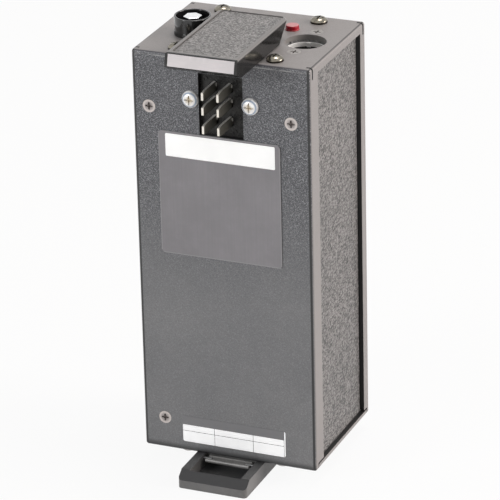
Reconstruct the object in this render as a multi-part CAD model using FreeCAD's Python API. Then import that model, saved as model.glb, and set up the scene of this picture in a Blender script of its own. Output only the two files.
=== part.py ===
import FreeCAD, Part
import math
import os

# Battery power module of an electronic flash, with a hinged latch and a foot. Millimetres.
# X runs to the right as seen from the front, Y to the rear and Z up. The origin is
# on the surface that the foot rests on, under the middle of the case.

# Case: four folded pans round two side panels
case_width = 74.0
case_depth = 58.5
case_height = 169.3
foot_height = 6.5
pan_wall = 2.0
pan_bend = 1.2
pan_return = 2.3
front_flange = 8.0
rear_flange = 5.5
top_flange = 3.4
bottom_flange = 2.2
bottom_seam = 0.8
slit_width = 0.5
slit_height = 4.5
slit_reach = 2.4
side_wall = 1.2
lip_reach = 11.0
tab_length = 7.5
skin_wall = 0.4
skin_margin = 0.4

# Clearances
fit_gap = 0.1
pin_gap = 0.05
travel_gap = 0.35
laid_gap = 0.02

# Screws
flat_head_radius = 2.65
flat_head_depth = 1.4
pan_head_radius = 3.4
pan_head_height = 2.0
pan_side_share = 0.45
pan_shoulder_reach = 0.78
pan_shoulder_rise = 0.86
screw_radius = 1.45
screw_tip = 1.8
cross_width = 0.65
cross_depth = 0.9
cross_share = 0.58
nut_across = 5.5
nut_height = 2.2
front_screw_drop = 22.7
front_screw_rise = 13.5
front_screw_inset_left = 6.8
front_screw_inset_right = 8.1
front_screw_inset_low = 9.1
rear_screw_inset = 8.0
top_screw_inset = 16.6
top_screw_front = 6.0
top_screw_rear = 7.0

# Blade plug in the front panel
aperture_width = 18.4
aperture_height = 25.4
aperture_drop = 6.5
plug_recess = 0.5
plug_flange_wall = 2.5
plug_body_depth = 11.0
plug_body_width = 16.0
plug_corner = 1.6
plug_flange_drop = 2.0
plug_body_margin = 1.0
plug_centre = -0.25
plug_screw_reach = 12.4
plug_screw_drop = 17.5
blade_pitch = 6.35
blade_rows = [12.2, 18.2, 25.85]
blade_width = 0.9
blade_height = 4.1
blade_tip_height = 3.0
blade_reach = 9.7
blade_tail = 4.0
blade_taper = 2.5
leg_width = 0.5
leg_height = 1.4
slot_width = 0.75
slot_height = 3.2
slot_depth = 4.0
leg_length = 3.0
boss_radius = 1.05
boss_hole = 0.55
boss_rise = 0.3
boss_root = 0.5
boss_places = [(-7.2, 9.4), (5.1, 9.6), (4.6, 30.1)]

# Plates on the front
plate_wall = 0.5
plate_inset_left = 10.5
plate_inset_right = 12.7
plate_drop = 32.0
plate_height = 51.2
plate_corner = 1.5
strip_wall = 0.15
strip_inset_left = 3.0
strip_inset_right = 2.1
strip_drop = 0.8
strip_height = 9.4
label_wall = 0.12
label_inset_left = 16.8
label_inset_right = 13.0
label_rise = 4.35
label_height = 11.2
label_corner = 0.8

# Latch cover on the top, hinged at its rear
latch_margin = 22.25
latch_shift = 1.15
latch_rise = 8.3
latch_wall = 1.2
latch_rear_wall = 0.8
latch_lift = 0.45
latch_overhang = 21.15
latch_nose_rise = 2.8
latch_nose_chamfer = 4.4
latch_nose_lean = 1.4
latch_back = 33.5
latch_heel = 25.15
latch_corner = 3.0
latch_top_wall = 1.6
latch_rim = 1.8
latch_recess = 0.85
latch_edge = 0.9
inset_wall = 0.4
inset_corner = 1.5
nose_plate_wall = 0.6
nose_plate_margin = 1.15
nose_plate_top = 0.5
nose_plate_height = 4.6
pin_radius = 1.0
pin_place = 25.3
pin_rise = 4.2
lug_radius = 1.75
lug_wall = 2.0
ear_wall = 1.5
ear_radius = 1.5
bracket_wall = 1.0
bracket_length = 9.0
bracket_screw_share = 0.575
latch_spring_radius = 1.35
latch_spring_wire = 0.4
latch_spring_pitch = 0.9
latch_spring_turns = 8
latch_spring_leg = 6.0

# Round socket in the top
socket_inset = 13.3
socket_setback = 0.15
socket_radius = 8.15
socket_wall = 1.2
socket_depth = 13.0
socket_flange_wall = 1.5
socket_flange_width = 8.4
socket_flange_rim = 0.5
socket_screw_reach = 11.8
socket_ring_depth = 3.0
socket_ring_height = 1.6
socket_ring_wall = 0.7
socket_floor_depth = 9.0
socket_key_width = 1.6
socket_key_reach = 0.9
socket_key_turn = 12
socket_notch_depth = 0.6
socket_notch_turns = [35, 100, 160, 215, 280]
contact_circle = 4.2
contact_radius = 1.2
contact_bore = 0.7
contact_tail = 4.0
contact_count = 5
socket_head_radius = 2.75

# Push button in its collar
button_inset = 15.8
button_y = 23.85
collar_radius = 7.05
collar_lip = 0.25
collar_lip_height = 2.9
collar_rise = 7.65
collar_wall = 0.55
collar_floor = 1.2
collar_base_height = 1.6
collar_neck = 4.9
collar_neck_length = 7.0
collar_nut_across = 12.0
collar_nut_height = 2.0
cap_width = 6.4
cap_drop = 0.25
cap_height = 3.0
cap_wall = 0.5
cap_top_wall = 1.0
cap_edge = 0.5
collar_edge = 0.3
button_travel = 1.5
stem_radius = 1.6
button_spring_radius = 2.15
button_spring_wire = 0.45
button_spring_turns = 3
switch_width = 13.0
switch_depth = 12.0
switch_height = 12.0
switch_lug_length = 4.0
switch_lug_width = 2.4
switch_lug_wall = 0.8

# Signal lamp
lamp_inset = 23.4
lamp_y = 40.6
lamp_radius = 2.6
lamp_flange_radius = 2.85
lamp_flange_height = 0.35
lamp_rise = 1.95
lamp_edge = 0.45
lamp_holder_radius = 3.3
lamp_holder_length = 12.0
lamp_lens_wall = 0.5
lamp_top_wall = 0.8
bulb_radius = 1.4

# Foot under the case
foot_margin = 22.4
foot_overhang = 19.3
foot_length = 71.3
foot_front_height = 3.45
foot_ramp = 4.2
foot_corner = 1.5
pocket_side = 3.6
pocket_front = 15.4
pocket_rear = 2.0
pocket_depth = 5.0
bar_end_gap = 1.7
bar_front = 3.9
bar_depth = 5.0
bar_height = 1.3
bar_drop = 0.45
bar_edge = 0.5
bar_groove = 0.45
bar_groove_width = 3.2
bar_pin_radius = 0.6
bar_pin_reach = 1.2
foot_screw_inset = 5.6
foot_screw_front = 8.0
foot_screw_rear = 8.0
foot_screw_sink = 1.5
bar_bore = 2.0

# Battery and its deck
cell_columns = 3
cell_rows = 2
cell_layers = 2
cell_gap = 0.3
cell_button_radius = 4.0
cell_button_height = 1.0
tray_wall = 1.5
tray_rise = 5.0
link_wall = 0.2
link_width = 7.0
pad_wall = 1.2
deck_wall = 1.2
deck_lip = 6.0
deck_drop = 74.5

# Converter on its board
board_wall = 1.6
board_rise = 6.0
board_margin = 1.0
standoff_radius = 2.2
standoff_hole = 1.2
standoff_inset = 5.0
core_margin = 2.5
core_split = -3.0
core_setback = 10.95
core_screw_gap = 3.75
core_height = 24.0
core_leg = 5.0
winding_gap = 0.4
winding_bulge = 5.1
winding_round = 0.8
capacitor_margin = 1.0
capacitor_split = -1.5
capacitor_gap = 0.8
capacitor_screw_gap = 3.95
capacitor_fuse_gap = 3.2
capacitor_height = 30.0
capacitor_bead = 0.4
capacitor_bead_rise = 2.5
capacitor_bead_height = 1.0
sink_wall = 2.0
sink_margin = 8.5
sink_height = 26.0
sink_fin_depth = 4.0
sink_fin_count = 9
sink_fin_wall = 1.2
transistor_width = 10.0
transistor_height = 14.0
transistor_wall = 4.4
transistor_margin = 9.0
transistor_leg = 0.8
transistor_leg_pitch = 2.5
fuse_radius = 2.5
fuse_length = 20.0
fuse_inset = 18.5
fuse_setback = 10.95
clip_width = 4.0
clip_wall = 0.5
clip_mouth = 0.8

Vector = FreeCAD.Vector
up = Vector(0, 0, 1)
down = Vector(0, 0, -1)
forward = Vector(0, -1, 0)
rearward = Vector(0, 1, 0)
right = Vector(1, 0, 0)

half_width = case_width / 2
front_y = -case_depth / 2
rear_y = case_depth / 2
base_z = foot_height
roof_z = foot_height + case_height
inner_x = half_width - pan_wall
inner_front = front_y + pan_wall
inner_rear = rear_y - pan_wall
inner_base = base_z + pan_wall
inner_roof = roof_z - pan_wall
bay_x = inner_x - side_wall
bay_front = inner_front + side_wall
bay_rear = inner_rear - side_wall
plate_left = -half_width + plate_inset_left
plate_right = half_width - plate_inset_right
latch_width = case_width - 2 * latch_margin
socket_x = half_width - socket_inset
socket_y = case_depth / 2 - socket_setback
button_x = -half_width + button_inset
lamp_x = half_width - lamp_inset
foot_width = case_width - 2 * foot_margin
pocket_width = foot_width - 2 * pocket_side
bar_width = pocket_width - 2 * bar_end_gap
board_half_x = bay_x - fit_gap - deck_wall - board_margin
board_half_y = bay_rear - fit_gap - board_margin
sink_front = board_half_y - sink_fin_depth - sink_wall
sink_width = 2 * (board_half_x - sink_margin)
core_width = board_half_x - core_margin + core_split
core_x = core_split - core_width / 2
screw_row_y = -board_half_y + standoff_inset + standoff_radius
core_front = screw_row_y + core_screw_gap
core_depth = sink_front - core_setback - core_front
core_y = core_front + core_depth / 2
fuse_x = board_half_x - fuse_inset
fuse_y = sink_front - fuse_setback
capacitor_front = screw_row_y + capacitor_screw_gap
capacitor_rear = fuse_y - fuse_radius - clip_wall - capacitor_fuse_gap
capacitor_room = board_half_x - capacitor_margin - capacitor_split - capacitor_gap
capacitor_radius = min(capacitor_room / 4, (capacitor_rear - capacitor_front) / 2)
capacitor_x = capacitor_split + 2 * capacitor_radius + capacitor_gap / 2
capacitor_y = capacitor_front + capacitor_radius


def block(x0, x1, y0, y1, z0, z1):
    return Part.makeBox(x1 - x0, y1 - y0, z1 - z0, Vector(x0, y0, z0))


def rod(radius, start, axis, length):
    return Part.makeCylinder(radius, length, start, axis)


def tube(outer, inner, start, axis, length):
    return rod(outer, start, axis, length).cut(rod(inner, start, axis, length))


def fuse(shapes):
    joined = shapes[0].multiFuse(shapes[1:]) if len(shapes) > 1 else shapes[0]
    return joined.removeSplitter()


def turned(shape, point, axis):
    """Moves a shape built along +Z at the origin to a point, with its Z along an axis."""
    placed = shape.copy()
    placed.Placement = FreeCAD.Placement(point, FreeCAD.Rotation(up, axis))
    return placed


def front_plate(x0, x1, z0, z1, corner, rear_face, wall):
    """A thin plate with rounded corners that lies on a plane facing the front."""
    plate = block(x0, x1, rear_face - wall, rear_face, z0, z1)
    across = [edge for edge in plate.Edges if abs(edge.tangentAt(edge.FirstParameter).y) > 0.9]
    return plate.makeFillet(corner, across)


def prism(points, axis_vector):
    """Extrudes a closed outline of points."""
    wire = Part.makePolygon([Vector(*point) for point in points + [points[0]]])
    return Part.Face(wire).extrude(axis_vector)


def cross_recess(reach, depth):
    """Two crossing slots, open at z = 0 and above."""
    half = cross_width / 2
    first = block(-reach, reach, -half, half, -depth, 1)
    second = block(-half, half, -reach, reach, -depth, 1)
    return fuse([first, second])


def flat_screw(head_radius, length):
    """A countersunk screw whose head is flush at z = 0 and whose shank points down."""
    cone = Part.makeCone(screw_radius, head_radius, flat_head_depth, Vector(0, 0, -flat_head_depth))
    shank = rod(screw_radius, Vector(0, 0, -length), up, length - flat_head_depth)
    return fuse([cone, shank]).cut(cross_recess(head_radius * cross_share, cross_depth))


def pan_screw(length):
    """A domed screw whose head stands on z = 0 and whose shank points down."""
    edge = pan_head_height * pan_side_share
    points = [Vector(0, 0, 0), Vector(pan_head_radius, 0, 0), Vector(pan_head_radius, 0, edge)]
    shoulder = Vector(pan_head_radius * pan_shoulder_reach, 0, pan_head_height * pan_shoulder_rise)
    crown = Vector(0, 0, pan_head_height)
    edges = [Part.makeLine(points[0], points[1]), Part.makeLine(points[1], points[2])]
    edges.append(Part.Arc(points[2], shoulder, crown).toShape())
    edges.append(Part.makeLine(crown, points[0]))
    head = Part.Face(Part.Wire(edges)).revolve(Vector(0, 0, 0), up, 360)
    shank = rod(screw_radius, Vector(0, 0, -length), up, length)
    recess = cross_recess(pan_head_radius * cross_share, cross_depth)
    recess.translate(Vector(0, 0, pan_head_height))
    return fuse([head, shank]).cut(recess)


def screw_hole(length):
    return rod(screw_radius + fit_gap, Vector(0, 0, -length), up, length + 1)


def sunk_hole(head_radius, length):
    """Clearance for a countersunk screw, from just above its flush face downwards."""
    cone = Part.makeCone(screw_radius + fit_gap, head_radius + fit_gap, flat_head_depth,
                         Vector(0, 0, -flat_head_depth))
    mouth = rod(head_radius + fit_gap, Vector(0, 0, 0), up, 1)
    return fuse([cone, mouth, screw_hole(length)])


def hex_prism(across, height):
    radius = across / math.sqrt(3)
    corners = []
    for side in range(6):
        angle = math.radians(60 * side + 30)
        corners.append((radius * math.cos(angle), radius * math.sin(angle), 0))
    return prism(corners, Vector(0, 0, height))


def nut(across, height, bore):
    return hex_prism(across, height).cut(rod(bore, Vector(0, 0, -1), up, height + 2))


def arc_from_tangent(start, tangent, end):
    """The arc that leaves start along tangent and ends at end."""
    chord = end - start
    along = chord / chord.Length
    side = tangent - along * tangent.dot(along)
    if side.Length < 1e-9:
        return Part.makeLine(start, end)
    bend = math.acos(max(-1.0, min(1.0, tangent.dot(along))))
    middle = start + chord * 0.5 + side / side.Length * (chord.Length / 2 * math.tan(bend / 2))
    return Part.Arc(start, middle, end).toShape()


def biarc(start, start_tangent, end, end_tangent):
    """Two arcs that meet smoothly between two points with given directions."""
    span = end - start
    total = start_tangent + end_tangent
    spread = 2 * (1 - start_tangent.dot(end_tangent))
    lean = span.dot(total)
    reach = (math.sqrt(lean * lean + spread * span.dot(span)) - lean) / spread
    joint = (start + end + (start_tangent - end_tangent) * reach) * 0.5
    first = arc_from_tangent(start, start_tangent, joint)
    last = arc_from_tangent(end, end_tangent * -1, joint)
    return [first, last]


def coil_point(centre, radius, pitch, angle, axis):
    turn = angle / (2 * math.pi)
    if axis == "x":
        return centre + Vector(pitch * turn, radius * math.cos(angle), radius * math.sin(angle))
    return centre + Vector(radius * math.cos(angle), radius * math.sin(angle), pitch * turn)


def coil_tangent(radius, pitch, angle, axis):
    rise = pitch / (2 * math.pi)
    if axis == "x":
        way = Vector(rise, -radius * math.sin(angle), radius * math.cos(angle))
    else:
        way = Vector(-radius * math.sin(angle), radius * math.cos(angle), rise)
    return way / way.Length


def coil_spring(name, centre, radius, pitch, first_angle, turns, wire, axis, leg):
    """One unbroken wire: a helix of biarcs with a straight leg at each end."""
    quarters = int(round(turns * 4))
    angles = [first_angle + math.pi / 2 * step for step in range(quarters + 1)]
    points = [coil_point(centre, radius, pitch, angle, axis) for angle in angles]
    tangents = [coil_tangent(radius, pitch, angle, axis) for angle in angles]
    edges = []
    start = points[0]
    if leg > 0:
        start = points[0] - tangents[0] * leg
        edges.append(Part.makeLine(start, points[0]))
    for step in range(quarters):
        edges += biarc(points[step], tangents[step], points[step + 1], tangents[step + 1])
    if leg > 0:
        edges.append(Part.makeLine(points[-1], points[-1] + tangents[-1] * leg))
    path = Part.Wire(Part.__sortEdges__(edges))
    ring = Part.Wire(Part.makeCircle(wire / 2, start, tangents[0]))
    spring = path.makePipeShell([ring], True, False)
    near = min(pitch - wire, 2 * radius - wire)
    samples = path.discretize(Number=40 * quarters)
    spacing = path.Length / len(samples)
    skip = int(math.pi * radius / spacing)
    for index, place in enumerate(samples):
        for other in samples[index + skip::3]:
            near = min(near, place.distanceToPoint(other) - wire)
    expected = math.pi * wire * wire / 4 * path.Length
    print(f"{name}: least gap to itself {near:.2f} mm, volume {spring.Volume:.2f} of {expected:.2f}")
    return spring


# The case

def case_shell():
    outer = block(-half_width, half_width, front_y, rear_y, base_z, roof_z)
    outer = outer.makeFillet(pan_bend, outer.Edges)
    inner = block(-inner_x, inner_x, inner_front, inner_rear, inner_base, inner_roof)
    return outer.cut(inner)


def corner_slits():
    """Relief slits where the flanges of neighbouring pans meet."""
    slits = []
    for side in (-1, 1):
        x_in = side * (half_width - slit_reach)
        x_out = side * (half_width + 1)
        x0 = min(x_in, x_out)
        x1 = max(x_in, x_out)
        for y0 in (front_y + pan_return, rear_y - pan_return - slit_width):
            slits.append(block(x0, x1, y0, y0 + slit_width, roof_z - slit_height, roof_z + 1))
            high = base_z + bottom_flange + bottom_seam
            slits.append(block(x0, x1, y0, y0 + slit_width, base_z - 1, high))
    return slits


def wall_region(y0, y1, flange_y0, flange_y1):
    """Space of a front or rear pan: its face full height and its flanges between the seams."""
    face = block(-case_width, case_width, y0, y1, base_z - 1, roof_z + 1)
    low = base_z + bottom_flange + bottom_seam
    flange = block(-case_width, case_width, flange_y0, flange_y1, low, roof_z - top_flange)
    return fuse([face, flange])


def front_screw_places():
    high = roof_z - front_screw_drop
    low = base_z + front_screw_rise
    return [
        (-half_width + front_screw_inset_left, high),
        (half_width - front_screw_inset_right, high),
        (-half_width + front_screw_inset_low, low),
    ]


def rear_screw_places():
    places = []
    for side in (-1, 1):
        for height in (base_z + front_screw_rise, roof_z - front_screw_drop):
            places.append((side * (half_width - rear_screw_inset), height))
    return places


def lid_screw_places():
    """Screws of the top and bottom pans, seen from above."""
    places = []
    for side in (-1, 1):
        for y in (front_y + top_screw_front, rear_y - top_screw_rear):
            places.append((side * (half_width - top_screw_inset), y))
    return places


def plug_screw_places():
    return [(side * plug_screw_reach, roof_z - plug_screw_drop) for side in (-1, 1)]


def front_panel(shell):
    panel = shell.common(wall_region(front_y - 1, front_y + pan_return, front_y, front_y + front_flange))
    high = roof_z - aperture_drop
    window = block(-aperture_width / 2, aperture_width / 2, front_y - 1, inner_front + 1,
                   high - aperture_height, high)
    cuts = corner_slits() + [window]
    for x, z in front_screw_places():
        cuts.append(turned(sunk_hole(flat_head_radius, pan_wall + 1), Vector(x, front_y, z), forward))
    for x, z in plug_screw_places():
        cuts.append(turned(screw_hole(pan_wall + 1), Vector(x, front_y, z), forward))
    return panel.cut(cuts)


def rear_panel(shell):
    panel = shell.common(wall_region(rear_y - pan_return, rear_y + 1, rear_y - rear_flange, rear_y))
    cuts = corner_slits()
    for x, z in rear_screw_places():
        cuts.append(turned(sunk_hole(flat_head_radius, pan_wall + 1), Vector(x, rear_y, z), rearward))
    return panel.cut(cuts)


def top_panel(shell):
    region = block(-case_width, case_width, front_y + pan_return, rear_y - pan_return,
                   roof_z - top_flange, roof_z + 1)
    cuts = corner_slits()
    for x, y in lid_screw_places():
        cuts.append(turned(screw_hole(pan_wall + 1), Vector(x, y, roof_z), up))
    cuts.append(rod(socket_radius, Vector(socket_x, front_y + socket_y, inner_roof - 1), up, pan_wall + 2))
    for y in socket_screw_rows():
        cuts.append(turned(sunk_hole(socket_head_radius, pan_wall + 1), Vector(socket_x, y, roof_z), up))
    cuts.append(rod(collar_neck + fit_gap, Vector(button_x, front_y + button_y, inner_roof - 1), up,
                    pan_wall + 2))
    cuts.append(rod(lamp_radius + fit_gap, Vector(lamp_x, front_y + lamp_y, inner_roof - 1), up,
                    pan_wall + 2))
    for x, y in bracket_screw_places():
        cuts.append(turned(screw_hole(pan_wall + 1), Vector(x, y, roof_z), up))
    return shell.common(region).cut(cuts)


def bottom_panel(shell):
    region = block(-case_width, case_width, front_y + pan_return, rear_y - pan_return,
                   base_z - 1, base_z + bottom_flange)
    cuts = corner_slits()
    for x, y in lid_screw_places():
        cuts.append(turned(screw_hole(pan_wall + 1), Vector(x, y, base_z), down))
    for x, y in foot_screw_places():
        cuts.append(turned(screw_hole(pan_wall + 1), Vector(x, y, base_z), down))
    return shell.common(region).cut(cuts)


def side_panel(side):
    """Inner side sheet with turned-in lips that take the screws of all four pans."""
    def between(reach):
        edges = sorted([side * inner_x, side * (inner_x - reach)])
        return edges[0], edges[1]

    x0, x1 = between(side_wall)
    sheet = block(x0, x1, inner_front, inner_rear, inner_base, inner_roof)
    x0, x1 = between(lip_reach)
    pieces = [sheet]
    pieces.append(block(x0, x1, inner_front, inner_front + side_wall, inner_base, inner_roof))
    pieces.append(block(x0, x1, inner_rear - side_wall, inner_rear, inner_base, inner_roof))
    x0, x1 = between(top_screw_inset - pan_wall + tab_length / 2)
    cuts = []
    for x, y in lid_screw_places():
        if x * side < 0:
            continue
        y0 = max(y - tab_length / 2, inner_front)
        y1 = min(y + tab_length / 2, inner_rear)
        pieces.append(block(x0, x1, y0, y1, inner_roof - side_wall, inner_roof))
        pieces.append(block(x0, x1, y0, y1, inner_base, inner_base + side_wall))
        cuts.append(turned(screw_hole(pan_wall + side_wall + 1), Vector(x, y, roof_z), up))
        cuts.append(turned(screw_hole(pan_wall + side_wall + 1), Vector(x, y, base_z), down))
    for x, z in front_screw_places():
        if x * side > 0:
            cuts.append(turned(screw_hole(pan_wall + side_wall + 1), Vector(x, front_y, z), forward))
    for x, z in rear_screw_places():
        if x * side > 0:
            cuts.append(turned(screw_hole(pan_wall + side_wall + 1), Vector(x, rear_y, z), rearward))
    return fuse(pieces).cut(cuts)


def side_skin(side):
    """Grained covering glued to the side sheet inside the frame of flanges."""
    inside = inner_x + skin_wall
    x0, x1 = sorted([side * inner_x, side * inside])
    y0 = front_y + front_flange + laid_gap
    y1 = rear_y - rear_flange - skin_margin
    z0 = base_z + bottom_flange + skin_margin
    z1 = roof_z - top_flange - laid_gap
    return block(x0, x1, y0, y1, z0, z1)


def screw_grip():
    """Length of a screw through a pan and the lip behind it."""
    return pan_wall + side_wall


def front_screws():
    screw = flat_screw(flat_head_radius, screw_grip() + screw_tip)
    return [turned(screw, Vector(x, front_y, z), forward) for x, z in front_screw_places()]


def rear_screws():
    screw = flat_screw(flat_head_radius, screw_grip() + screw_tip)
    return [turned(screw, Vector(x, rear_y, z), rearward) for x, z in rear_screw_places()]


def top_screws():
    screw = pan_screw(screw_grip() + screw_tip)
    return [turned(screw, Vector(x, y, roof_z), up) for x, y in lid_screw_places()]


def bottom_screws():
    screw = pan_screw(screw_grip())
    return [turned(screw, Vector(x, y, base_z), down) for x, y in lid_screw_places()]


# Blade plug

def blade_places():
    places = []
    for drop in blade_rows:
        for side in (-1, 1):
            places.append((plug_centre + side * blade_pitch / 2, roof_z - drop))
    return places


def plug_block():
    """Moulding clamped behind the front panel, with a slot at each blade."""
    high = roof_z - aperture_drop
    low = high - aperture_height
    flange_x = plug_screw_reach + pan_head_radius
    rear = inner_front + plug_flange_wall
    flange = block(-flange_x, flange_x, inner_front, rear, low - plug_flange_drop,
                   inner_roof - side_wall - fit_gap)
    half = plug_body_width / 2
    body = block(plug_centre - half, plug_centre + half, inner_front, rear + plug_body_depth,
                 low + plug_body_margin, high - plug_body_margin)
    moulding = fuse([flange, body])
    face = plug_outline(low, high)
    cuts = [face]
    for x, z in blade_places():
        edge = x + blade_width / 2
        cuts.append(block(x - blade_width / 2 - pin_gap, edge + pin_gap, inner_front,
                          rear + plug_body_depth + 1, z - blade_height / 2 - pin_gap,
                          z + blade_height / 2 + pin_gap))
        cuts.append(block(edge - pin_gap, edge + slot_width, inner_front,
                          inner_front + plug_recess + slot_depth, z - slot_height / 2, z + slot_height / 2))
    for x, z in plug_screw_places():
        cuts.append(turned(screw_hole(pan_wall + plug_flange_wall + 1), Vector(x, front_y, z), forward))
    moulding = moulding.cut(cuts)
    bosses = []
    face_y = inner_front + plug_recess
    for x, drop in boss_places:
        ring = tube(boss_radius, boss_hole, Vector(x, face_y - boss_rise, roof_z - drop), rearward,
                    boss_rise + boss_root)
        bosses.append(ring)
    return fuse([moulding] + bosses)


def plug_outline(low, high):
    """The sunk face seen through the window, with cut corners."""
    half = aperture_width / 2
    corner = plug_corner
    outline = [
        (-half + corner, low), (half - corner, low), (half, low + corner), (half, high - corner),
        (half - corner, high), (-half + corner, high), (-half, high - corner), (-half, low + corner),
    ]
    points = [(x, inner_front - 1, z) for x, z in outline]
    return prism(points, Vector(0, 1 + plug_recess, 0))


def plug_blades():
    """Flat contact blades with narrowed tips and a folded leg beside each root."""
    blades = []
    tail_end = inner_front + plug_flange_wall + plug_body_depth + blade_tail
    tip = front_y - blade_reach
    for x, z in blade_places():
        half = blade_height / 2
        narrow = blade_tip_height / 2
        side_view = [
            (tip, narrow), (tip + blade_taper, half), (tail_end, half),
            (tail_end, -half), (tip + blade_taper, -half), (tip, -narrow),
        ]
        points = [(x - blade_width / 2, y, z + rise) for y, rise in side_view]
        blade = prism(points, Vector(blade_width, 0, 0))
        edge = x + blade_width / 2
        leg_front = inner_front + plug_recess + fit_gap
        leg = block(edge - fit_gap, edge + leg_width, leg_front, leg_front + leg_length,
                    z + slot_height / 2 - fit_gap - leg_height, z + slot_height / 2 - fit_gap)
        blades.append(fuse([blade, leg]))
    return blades


def plug_screws():
    screw = pan_screw(pan_wall + plug_flange_wall + nut_height + screw_tip)
    return [turned(screw, Vector(x, front_y, z), forward) for x, z in plug_screw_places()]


def plug_nuts():
    piece = nut(nut_across, nut_height, screw_radius + pin_gap)
    seat = inner_front + plug_flange_wall
    return [turned(piece, Vector(x, seat, z), rearward) for x, z in plug_screw_places()]


# Plates on the front

def face_plate():
    high = roof_z - plate_drop
    return front_plate(plate_left, plate_right, high - plate_height, high, plate_corner, front_y,
                       plate_wall)


def plate_strip():
    high = roof_z - plate_drop - strip_drop
    return front_plate(plate_left + strip_inset_left, plate_right - strip_inset_right, high - strip_height,
                       high, plate_corner / 3, front_y - plate_wall, strip_wall)


def form_label():
    low = base_z + label_rise
    return front_plate(-half_width + label_inset_left, half_width - label_inset_right, low,
                       low + label_height, label_corner, front_y, label_wall)


# Latch

def latch_slope():
    return (latch_back - latch_heel) / (latch_rise - latch_lift)


def latch_rear_at(height, wall):
    """Y of the sloping rear face at a height above the roof, set in by a wall."""
    set_in = wall * math.sqrt(1 + latch_slope() ** 2)
    return front_y + latch_heel + latch_slope() * (height - latch_lift) - set_in


def latch_nose_at(height):
    """Y of the leaning nose face at a height above the roof."""
    lean = latch_nose_lean / (latch_rise - latch_nose_rise)
    return front_y - latch_overhang + lean * (height - latch_nose_rise)


def hinge_centre():
    return Vector(latch_shift, front_y + pin_place, roof_z + pin_rise)


def slanted_rear_edges(shape):
    """The two edges that run up between the sloping rear face and the side walls."""
    edges = []
    for edge in shape.Edges:
        box = edge.BoundBox
        if box.XLength < laid_gap and box.ZLength > latch_rise / 2 and box.YMin > front_y:
            edges.append(edge)
    return edges


def latch_cover():
    """Upside-down tray with a sloping rear, an open floor and two lugs for the pin."""
    half = latch_width / 2
    left = latch_shift - half
    nose = latch_nose_at(latch_nose_rise)
    back = latch_rear_at(latch_rise, 0)
    heel = latch_rear_at(latch_lift, 0)
    low = roof_z + latch_lift
    high = roof_z + latch_rise
    outer = prism([
        (left, nose, roof_z + latch_nose_rise), (left, latch_nose_at(latch_rise), high),
        (left, back, high), (left, heel, low), (left, nose + latch_nose_chamfer, low),
    ], Vector(latch_width, 0, 0))
    outer = outer.makeFillet(latch_corner, slanted_rear_edges(outer))
    rounded = []
    for edge in outer.Edges:
        box = edge.BoundBox
        if box.ZMin > high - laid_gap and (box.YLength > 1 or box.YMin > back - laid_gap):
            rounded.append(edge)
    outer = outer.makeFillet(latch_edge, rounded)

    inside = half - latch_wall
    front_wall = nose + latch_nose_chamfer
    under = latch_rise - latch_top_wall
    cavity = prism([
        (latch_shift - inside, front_wall, roof_z - 1), (latch_shift - inside, front_wall, roof_z + under),
        (latch_shift - inside, latch_rear_at(under, latch_rear_wall), roof_z + under),
        (latch_shift - inside, latch_rear_at(-1, latch_rear_wall), roof_z - 1),
    ], Vector(2 * inside, 0, 0))
    cavity = cavity.makeFillet(latch_corner - latch_wall, slanted_rear_edges(cavity))
    cover = outer.cut([cavity, inset_space(0, latch_recess + 1), nose_plate_space(pin_gap, 1)])
    lugs = [rod(lug_radius, hinge_centre() + right * (side * inside), right * -side, lug_wall).common(outer)
            for side in (-1, 1)]
    bore = rod(pin_radius + pin_gap, hinge_centre() - right * inside, right, 2 * inside)
    return fuse([cover] + lugs).cut(bore)


def inset_space(gap, depth):
    """Block over the floor of the recess in the top, with rounded corners, set in by a gap."""
    half = latch_width / 2 - latch_rim - gap
    y0 = latch_nose_at(latch_rise) + latch_rim + gap
    y1 = latch_rear_at(latch_rise, 0) - latch_rim - gap
    floor = roof_z + latch_rise - latch_recess
    space = block(latch_shift - half, latch_shift + half, y0, y1, floor, floor + depth)
    uprights = [edge for edge in space.Edges if edge.BoundBox.ZLength > depth / 2]
    return space.makeFillet(inset_corner - gap, uprights)


def latch_inset():
    return inset_space(pin_gap, inset_wall)


def nose_plate_space(gap, proud):
    """Slab along the leaning nose, grown by a gap at its edges and standing proud in front."""
    half = latch_width / 2 - nose_plate_margin + gap
    top = latch_rise - nose_plate_top + gap
    foot = latch_rise - nose_plate_top - nose_plate_height - gap
    left = latch_shift - half
    return prism([
        (left, latch_nose_at(foot) - proud, roof_z + foot),
        (left, latch_nose_at(top) - proud, roof_z + top),
        (left, latch_nose_at(top) + nose_plate_wall, roof_z + top),
        (left, latch_nose_at(foot) + nose_plate_wall, roof_z + foot),
    ], Vector(2 * half, 0, 0))


def latch_nose_plate():
    return nose_plate_space(0, 0)


def latch_pin():
    reach = latch_width / 2 - latch_wall - fit_gap
    return rod(pin_radius, hinge_centre() - right * reach, right, 2 * reach)


def ear_outer():
    return latch_width / 2 - latch_wall - lug_wall - travel_gap


def heel_swing():
    """Radius that the inner corner of the cover's heel sweeps round the pin, with clearance."""
    corner = latch_rear_at(latch_lift, latch_rear_wall)
    return math.hypot(corner - hinge_centre().y, pin_rise - latch_lift) + travel_gap


def bracket_span():
    """Front and rear ends of the bracket's foot, in front of the swing of the cover's heel."""
    below = pin_rise - bracket_wall
    rear = hinge_centre().y - math.sqrt(heel_swing() ** 2 - below ** 2)
    return rear - bracket_length, rear


def bracket_screw_places():
    y0, y1 = bracket_span()
    middle = (y0 + y1) / 2
    reach = bracket_screw_share * ear_outer()
    return [(latch_shift + side * reach, middle) for side in (-1, 1)]


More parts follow.
